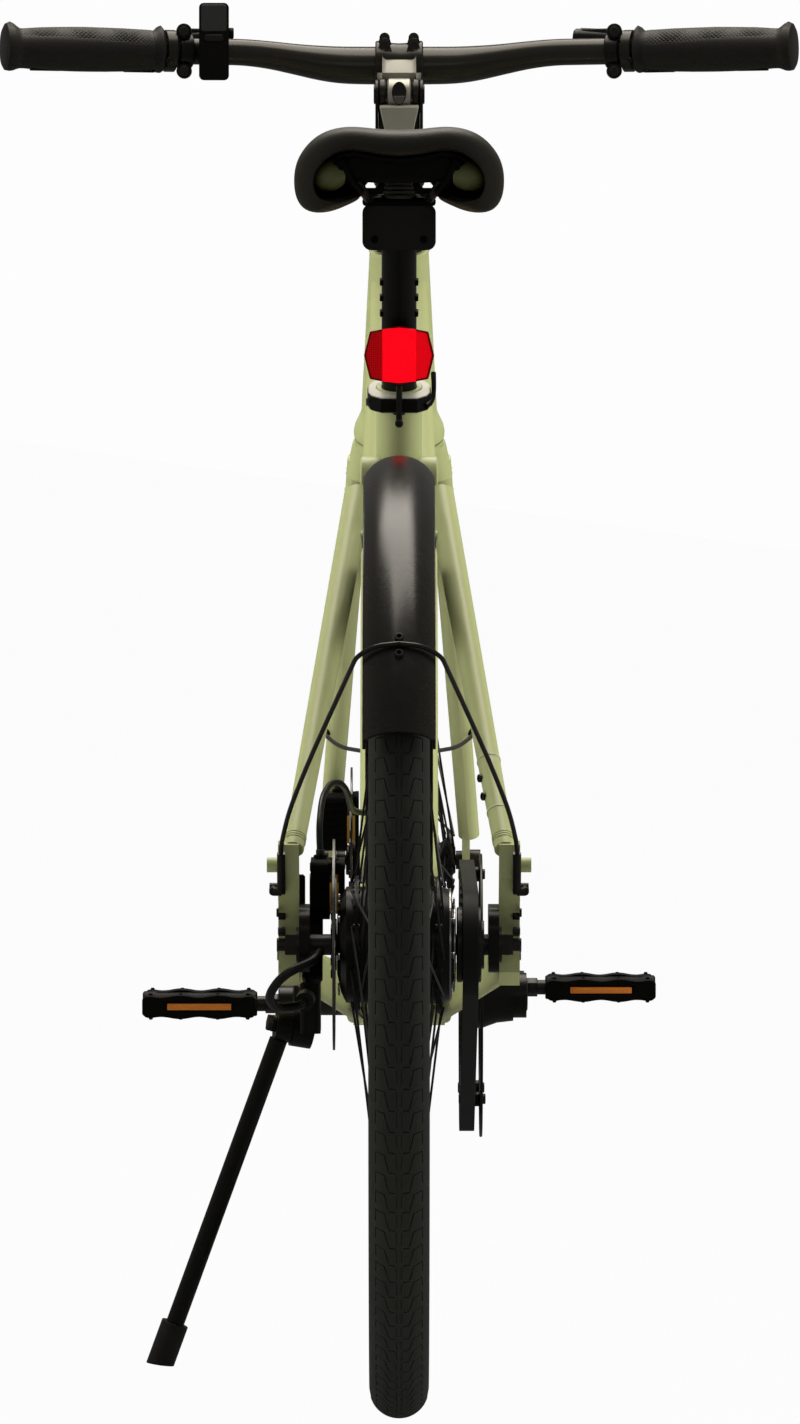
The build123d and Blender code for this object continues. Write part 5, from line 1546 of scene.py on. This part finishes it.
def caliper_mount():
    """Cast arm that carries the rear caliper from the left dropout."""
    bm = bmesh.new()
    arm = [
        (14, 331), (30, 326), (54, 338), (70, 356), (78, 378), (64, 384), (44, 384), (34, 370),
        (20, 352),
    ]
    plate(bm, along_x(X * -73.5), arm, 15.5, 2.4)
    rib = [(20, 338), (50, 346), (66, 366), (70, 402), (62, 408), (54, 384), (34, 362)]
    plate(bm, along_x(X * -77.5), rib, 6.0, 1.6)
    for y, z in ((28, 338), (64, 374), (64, 398)):
        cap_screw(bm, Vector((-76.5, y, z)), -X, 4.2, 3.0)
    bar(bm, (-80, 44, 345), (-72, 44, 345), 7.0, sides=28, rim=1.5)
    piece("caliper_mount", bm, [cast_black], "frame")


caliper_mount()
caliper(
    "front_disc_caliper", "front_brake_caliper", (-66, 1028, 369.5), (-34.5, 1086, 419.5), -41.0,
    "steering", (-52, 1056, 419),
)

# ---------------------------------------------------------------- frame, fork and guard fittings

STAY_LOW = (80, 4, 429.5)
STAY_HIGH = (32, 300, 691)


def frame_fittings():
    """Bolts, rings, recesses and joints of the frame."""
    bm = bmesh.new()
    for side in SIDES:
        low, high = mirrored(STAY_LOW, side), mirrored(STAY_HIGH, side)
        cap_screw(bm, Vector((side * 93, 10.5, 399.5)), X * side, 4.0, 3.2)
        for y, z in ((12, 381), (44, 352), (60, 345)):
            cap_screw(bm, Vector((side * 91.3, y, z)), X * side, 3.4, 1.6)
        for y, z in ((-2, 368), (14, 366), (19, 378), (16, 392), (4, 398)):
            bar(bm, (side * 86, y, z), (side * 91.6, y, z), 3.0, sides=16, rim=0.5)
        for share in (0.02, 0.026, 0.032):
            weld = [(-1, 7.6), (-0.6, 8.5), (0.6, 8.5), (1, 7.6)]
            lathe(bm, aimed(low.lerp(high, share), high - low), weld, 36, 1)
        lug = on_seat_tube(442, 8, side * 28.6)
        cover = [(0, 16.9), (1.2, 16.4), (1.8, 14.5), (1.8, 9), (1.0, 8.4), (1.0, 0)]
        lathe(bm, aimed(lug, X * side), cover, 40, 1)
    low, high = Vector(STAY_LOW), Vector(STAY_HIGH)
    for share in (0.10, 0.24):
        thin, thick = 7.6 + 3.0 * share, 8.5 + 3.0 * share
        band = [(-1.0, thin), (-0.5, thick), (0.5, thick), (1.0, thin)]
        lathe(bm, aimed(low.lerp(high, share), high - low), band, 40, 2)
    for share in (0.145, 0.195):
        spot = low.lerp(high, share) + Vector((-8.2, -2.5, 0))
        cap_screw(bm, spot, Vector((-1, -0.4, 0)), 3.2, 2.4)
    crown_race = [
        (0, 30), (0, 36.6), (1.2, 38.0), (5, 38.2), (10, 37.2), (15, 35.0), (20, 32.8),
        (25, 31.4),
    ]
    lathe(bm, aimed(on_steering(0, 0, 412), STEER_UP), crown_race, 72, 1)
    top_race = [(0, 24.2), (0.5, 25.4), (2.6, 25.4), (3.0, 24.2)]
    lathe(bm, aimed(on_steering(0, 0, 579), STEER_UP), top_race, 56, 1)
    piece("frame_fittings", bm, [dark_steel, avocado, pale_paint_and_highlight], "frame")


frame_fittings()


def fork_ribs():
    """Slanted ribs round the tops of the fork legs: pale tube loops that stand for their lit edges,
    a painted highlight.
    """
    bm = bmesh.new()
    for side in SIDES:
        start = on_steering(side * 33.5, 0, 392)
        end = on_steering(side * 60, 40, 26)
        down = (end - start).normalized()
        outward = (X * side - down * down.dot(X * side)).normalized()
        ahead = down.cross(outward)
        for distance in (16, 36, 56):
            centre = start + down * distance
            loop = [
                centre + outward * out + ahead * fore - down * 5.2 * (out / 9.9)
                for out, fore in ring_of(24, 9.9)
            ]
            # each rib is a pale tube loop: painted highlight along the rib's edge
            tube(bm, loop, 0.9, 8, closed=True)
    crown = [(0, 24), (0, 35.0), (4, 36.6), (8.2, 37.6), (8.8, 37.0), (8.8, 24)]
    lathe(bm, aimed(on_steering(0, 0, 402), STEER_UP), crown, 72, 1)
    piece("fork_leg_ribs", bm, [pale_paint_and_highlight, avocado], "steering")


fork_ribs()


def guard_trim(name, axle, body, first, last, screws):
    """Rolled edges of a mudguard, and the screws that hold its wire."""
    bm = bmesh.new()
    for side in SIDES:
        turns = [first + 0.4 + (last - first - 0.8) * step / 34 for step in range(35)]
        tube(bm, [around(axle, 354.2, turn, side * 25.6) for turn in turns], 1.15, 8)
    for degrees in screws:
        at = around(axle, 369.4, degrees)
        cap_screw(bm, at, (at - axle).normalized(), 3.4, 3.0, paint=1)
    piece(name, bm, [mudguard_skin, dark_steel], body)


guard_trim("rear_guard_trim", REAR_AXLE, "frame", -9, 153, (139.1, 141.4))
guard_trim("front_guard_trim", FRONT_AXLE, "steering", 52, 166, ())


def stand_pivot():
    """Hexagon bolt that the side stand turns on."""
    bm = bmesh.new()
    axis = upright_axis("side_stand_fold")
    axis = axis if axis.x < 0 else -axis
    corner = 6.0 / math.cos(math.pi / 6)
    head = [(0, 0), (0, corner), (3.44, corner), (4.0, corner * 0.88), (4.0, 0)]
    lathe(bm, aimed(upright("side_stand_fold") + axis * 9.2, axis), head, 6)
    piece("stand_pivot_bolt", bm, [dark_steel], "frame")


stand_pivot()

# ---------------------------------------------------------------- finishes of the carried nodes

NODE_FINISH = {
    avocado: "main_frame rear_triangle rack_bosses fork",
    black_satin: "stand_bracket dropout_plates saddle_rails saddle_clamp hub_motor "
    "rear_rim front_rim front_hub stand_leg battery seat_post",
    mudguard_skin: "rear_mudguard front_mudguard",
    dark_steel: "rear_axle front_axle crank_axle rear_mudguard_stay front_mudguard_stay",
    spoke_black: "rear_spokes front_spokes",
    hose_skin: "rear_brake_hose motor_cable",
    rubber: "stand_foot",
}
for skin, names in NODE_FINISH.items():
    for node in names.split():
        mesh = frame["nodes"][node].data
        mesh.materials.clear()
        mesh.materials.append(skin)

# ---------------------------------------------------------------- floor, lights and camera

WHITE = 0.983
MIRRORED_FLOOR = 0.12
MIRRORED_WORLD = 0.13
LENS = 268.0
CAMERA_PITCH = math.radians(2.48)


def studio_floor():
    """Pale floor that takes shadows; plain white to the camera, dimmer in gloss."""
    made, w, skin = blank("studio_floor")
    w.fill(skin, {"Base Color": (0.55, 0.55, 0.54, 1), "Roughness": 0.9})
    rays, seen = w.seen_directly()
    mirrored_ray = rays["Is Glossy Ray"]
    direct = w.math("ADD", seen, mirrored_ray, clamp=True)
    strength = w.spread(mirrored_ray, 0.0, 1.0, WHITE, MIRRORED_FLOOR)
    glow = w.node("Emission", {"Strength": strength})
    blend = w.node("MixShader", {"Fac": w.math("MULTIPLY", direct, 0.985)})
    w.join(skin.outputs["BSDF"], blend.inputs[1])
    w.join(glow.outputs["Emission"], blend.inputs[2])
    w.join(blend.outputs["Shader"], made.node_tree.nodes["Material Output"].inputs["Surface"])
    bm = bmesh.new()
    bmesh.ops.create_grid(bm, x_segments=1, y_segments=1, size=30.0)
    mesh = bpy.data.meshes.new("studio_floor")
    bm.to_mesh(mesh)
    bm.free()
    mesh.materials.append(made)
    floor = bpy.data.objects.new("studio_floor", mesh)
    floor.location.z = cad_box[0][2]
    bpy.context.scene.collection.objects.link(floor)


studio_floor()

world = bpy.data.worlds.new("studio")
bpy.context.scene.world = world
world.use_nodes = True
sky = Wires(world.node_tree)
strength = sky.spread(sky.seen_directly()[1], 0.0, 1.0, MIRRORED_WORLD, WHITE)
sky.fill(world.node_tree.nodes["Background"], {"Color": (1, 1, 1, 1), "Strength": strength})


def softbox(name, at, aim, size, power, in_gloss=True, blue=0.91):
    """Rectangular studio light at a point of the upright bicycle, aimed at another."""
    lamp = bpy.data.lights.new(name, "AREA")
    lamp.shape = "RECTANGLE"
    lamp.size, lamp.size_y = size
    lamp.energy = power
    lamp.color = (1.0, 0.5 + blue * 0.52, blue)
    made = bpy.data.objects.new(name, lamp)
    start, end = PARK @ Vector(at), PARK @ Vector(aim)
    made.matrix_world = aimed(start, start - end)
    made.visible_glossy = in_gloss
    bpy.context.scene.collection.objects.link(made)


for side, x in (("left", -2700), ("right", 2700)):
    softbox(f"{side}_softbox", (x, 500, 1300), (0, 200, 650), (0.8, 2.6), 62, in_gloss=False)
    softbox(f"{side}_sheen", (x, 500, 1300), (0, 200, 650), (0.8, 2.6), 9)
softbox("rear_softbox", (0, -4500, 1750), (0, 0, 900), (2.4, 0.25), 4, blue=0.8)
softbox("top_softbox", (0, 1100, 3200), (0, 200, 600), (2.2, 2.8), 100, blue=0.83)

camera_data = bpy.data.cameras.new("camera")
camera_data.sensor_fit = "VERTICAL"
camera_data.sensor_height = 36.0
camera_data.lens = LENS
camera_data.clip_end = 100.0
camera = bpy.data.objects.new("camera", camera_data)
sine, cosine = math.sin(CAMERA_PITCH), math.cos(CAMERA_PITCH)
look = oriented(X, Vector((0, sine, cosine)), Vector((0, -cosine, sine)))
leaned = PARK.to_3x3().normalized().to_4x4()
camera.matrix_world = Matrix.Translation(PARK @ Vector((0.7, -8000, 880))) @ leaned @ look
bpy.context.scene.collection.objects.link(camera)
bpy.context.scene.camera = camera
bpy.context.scene.view_settings.view_transform = "Standard"
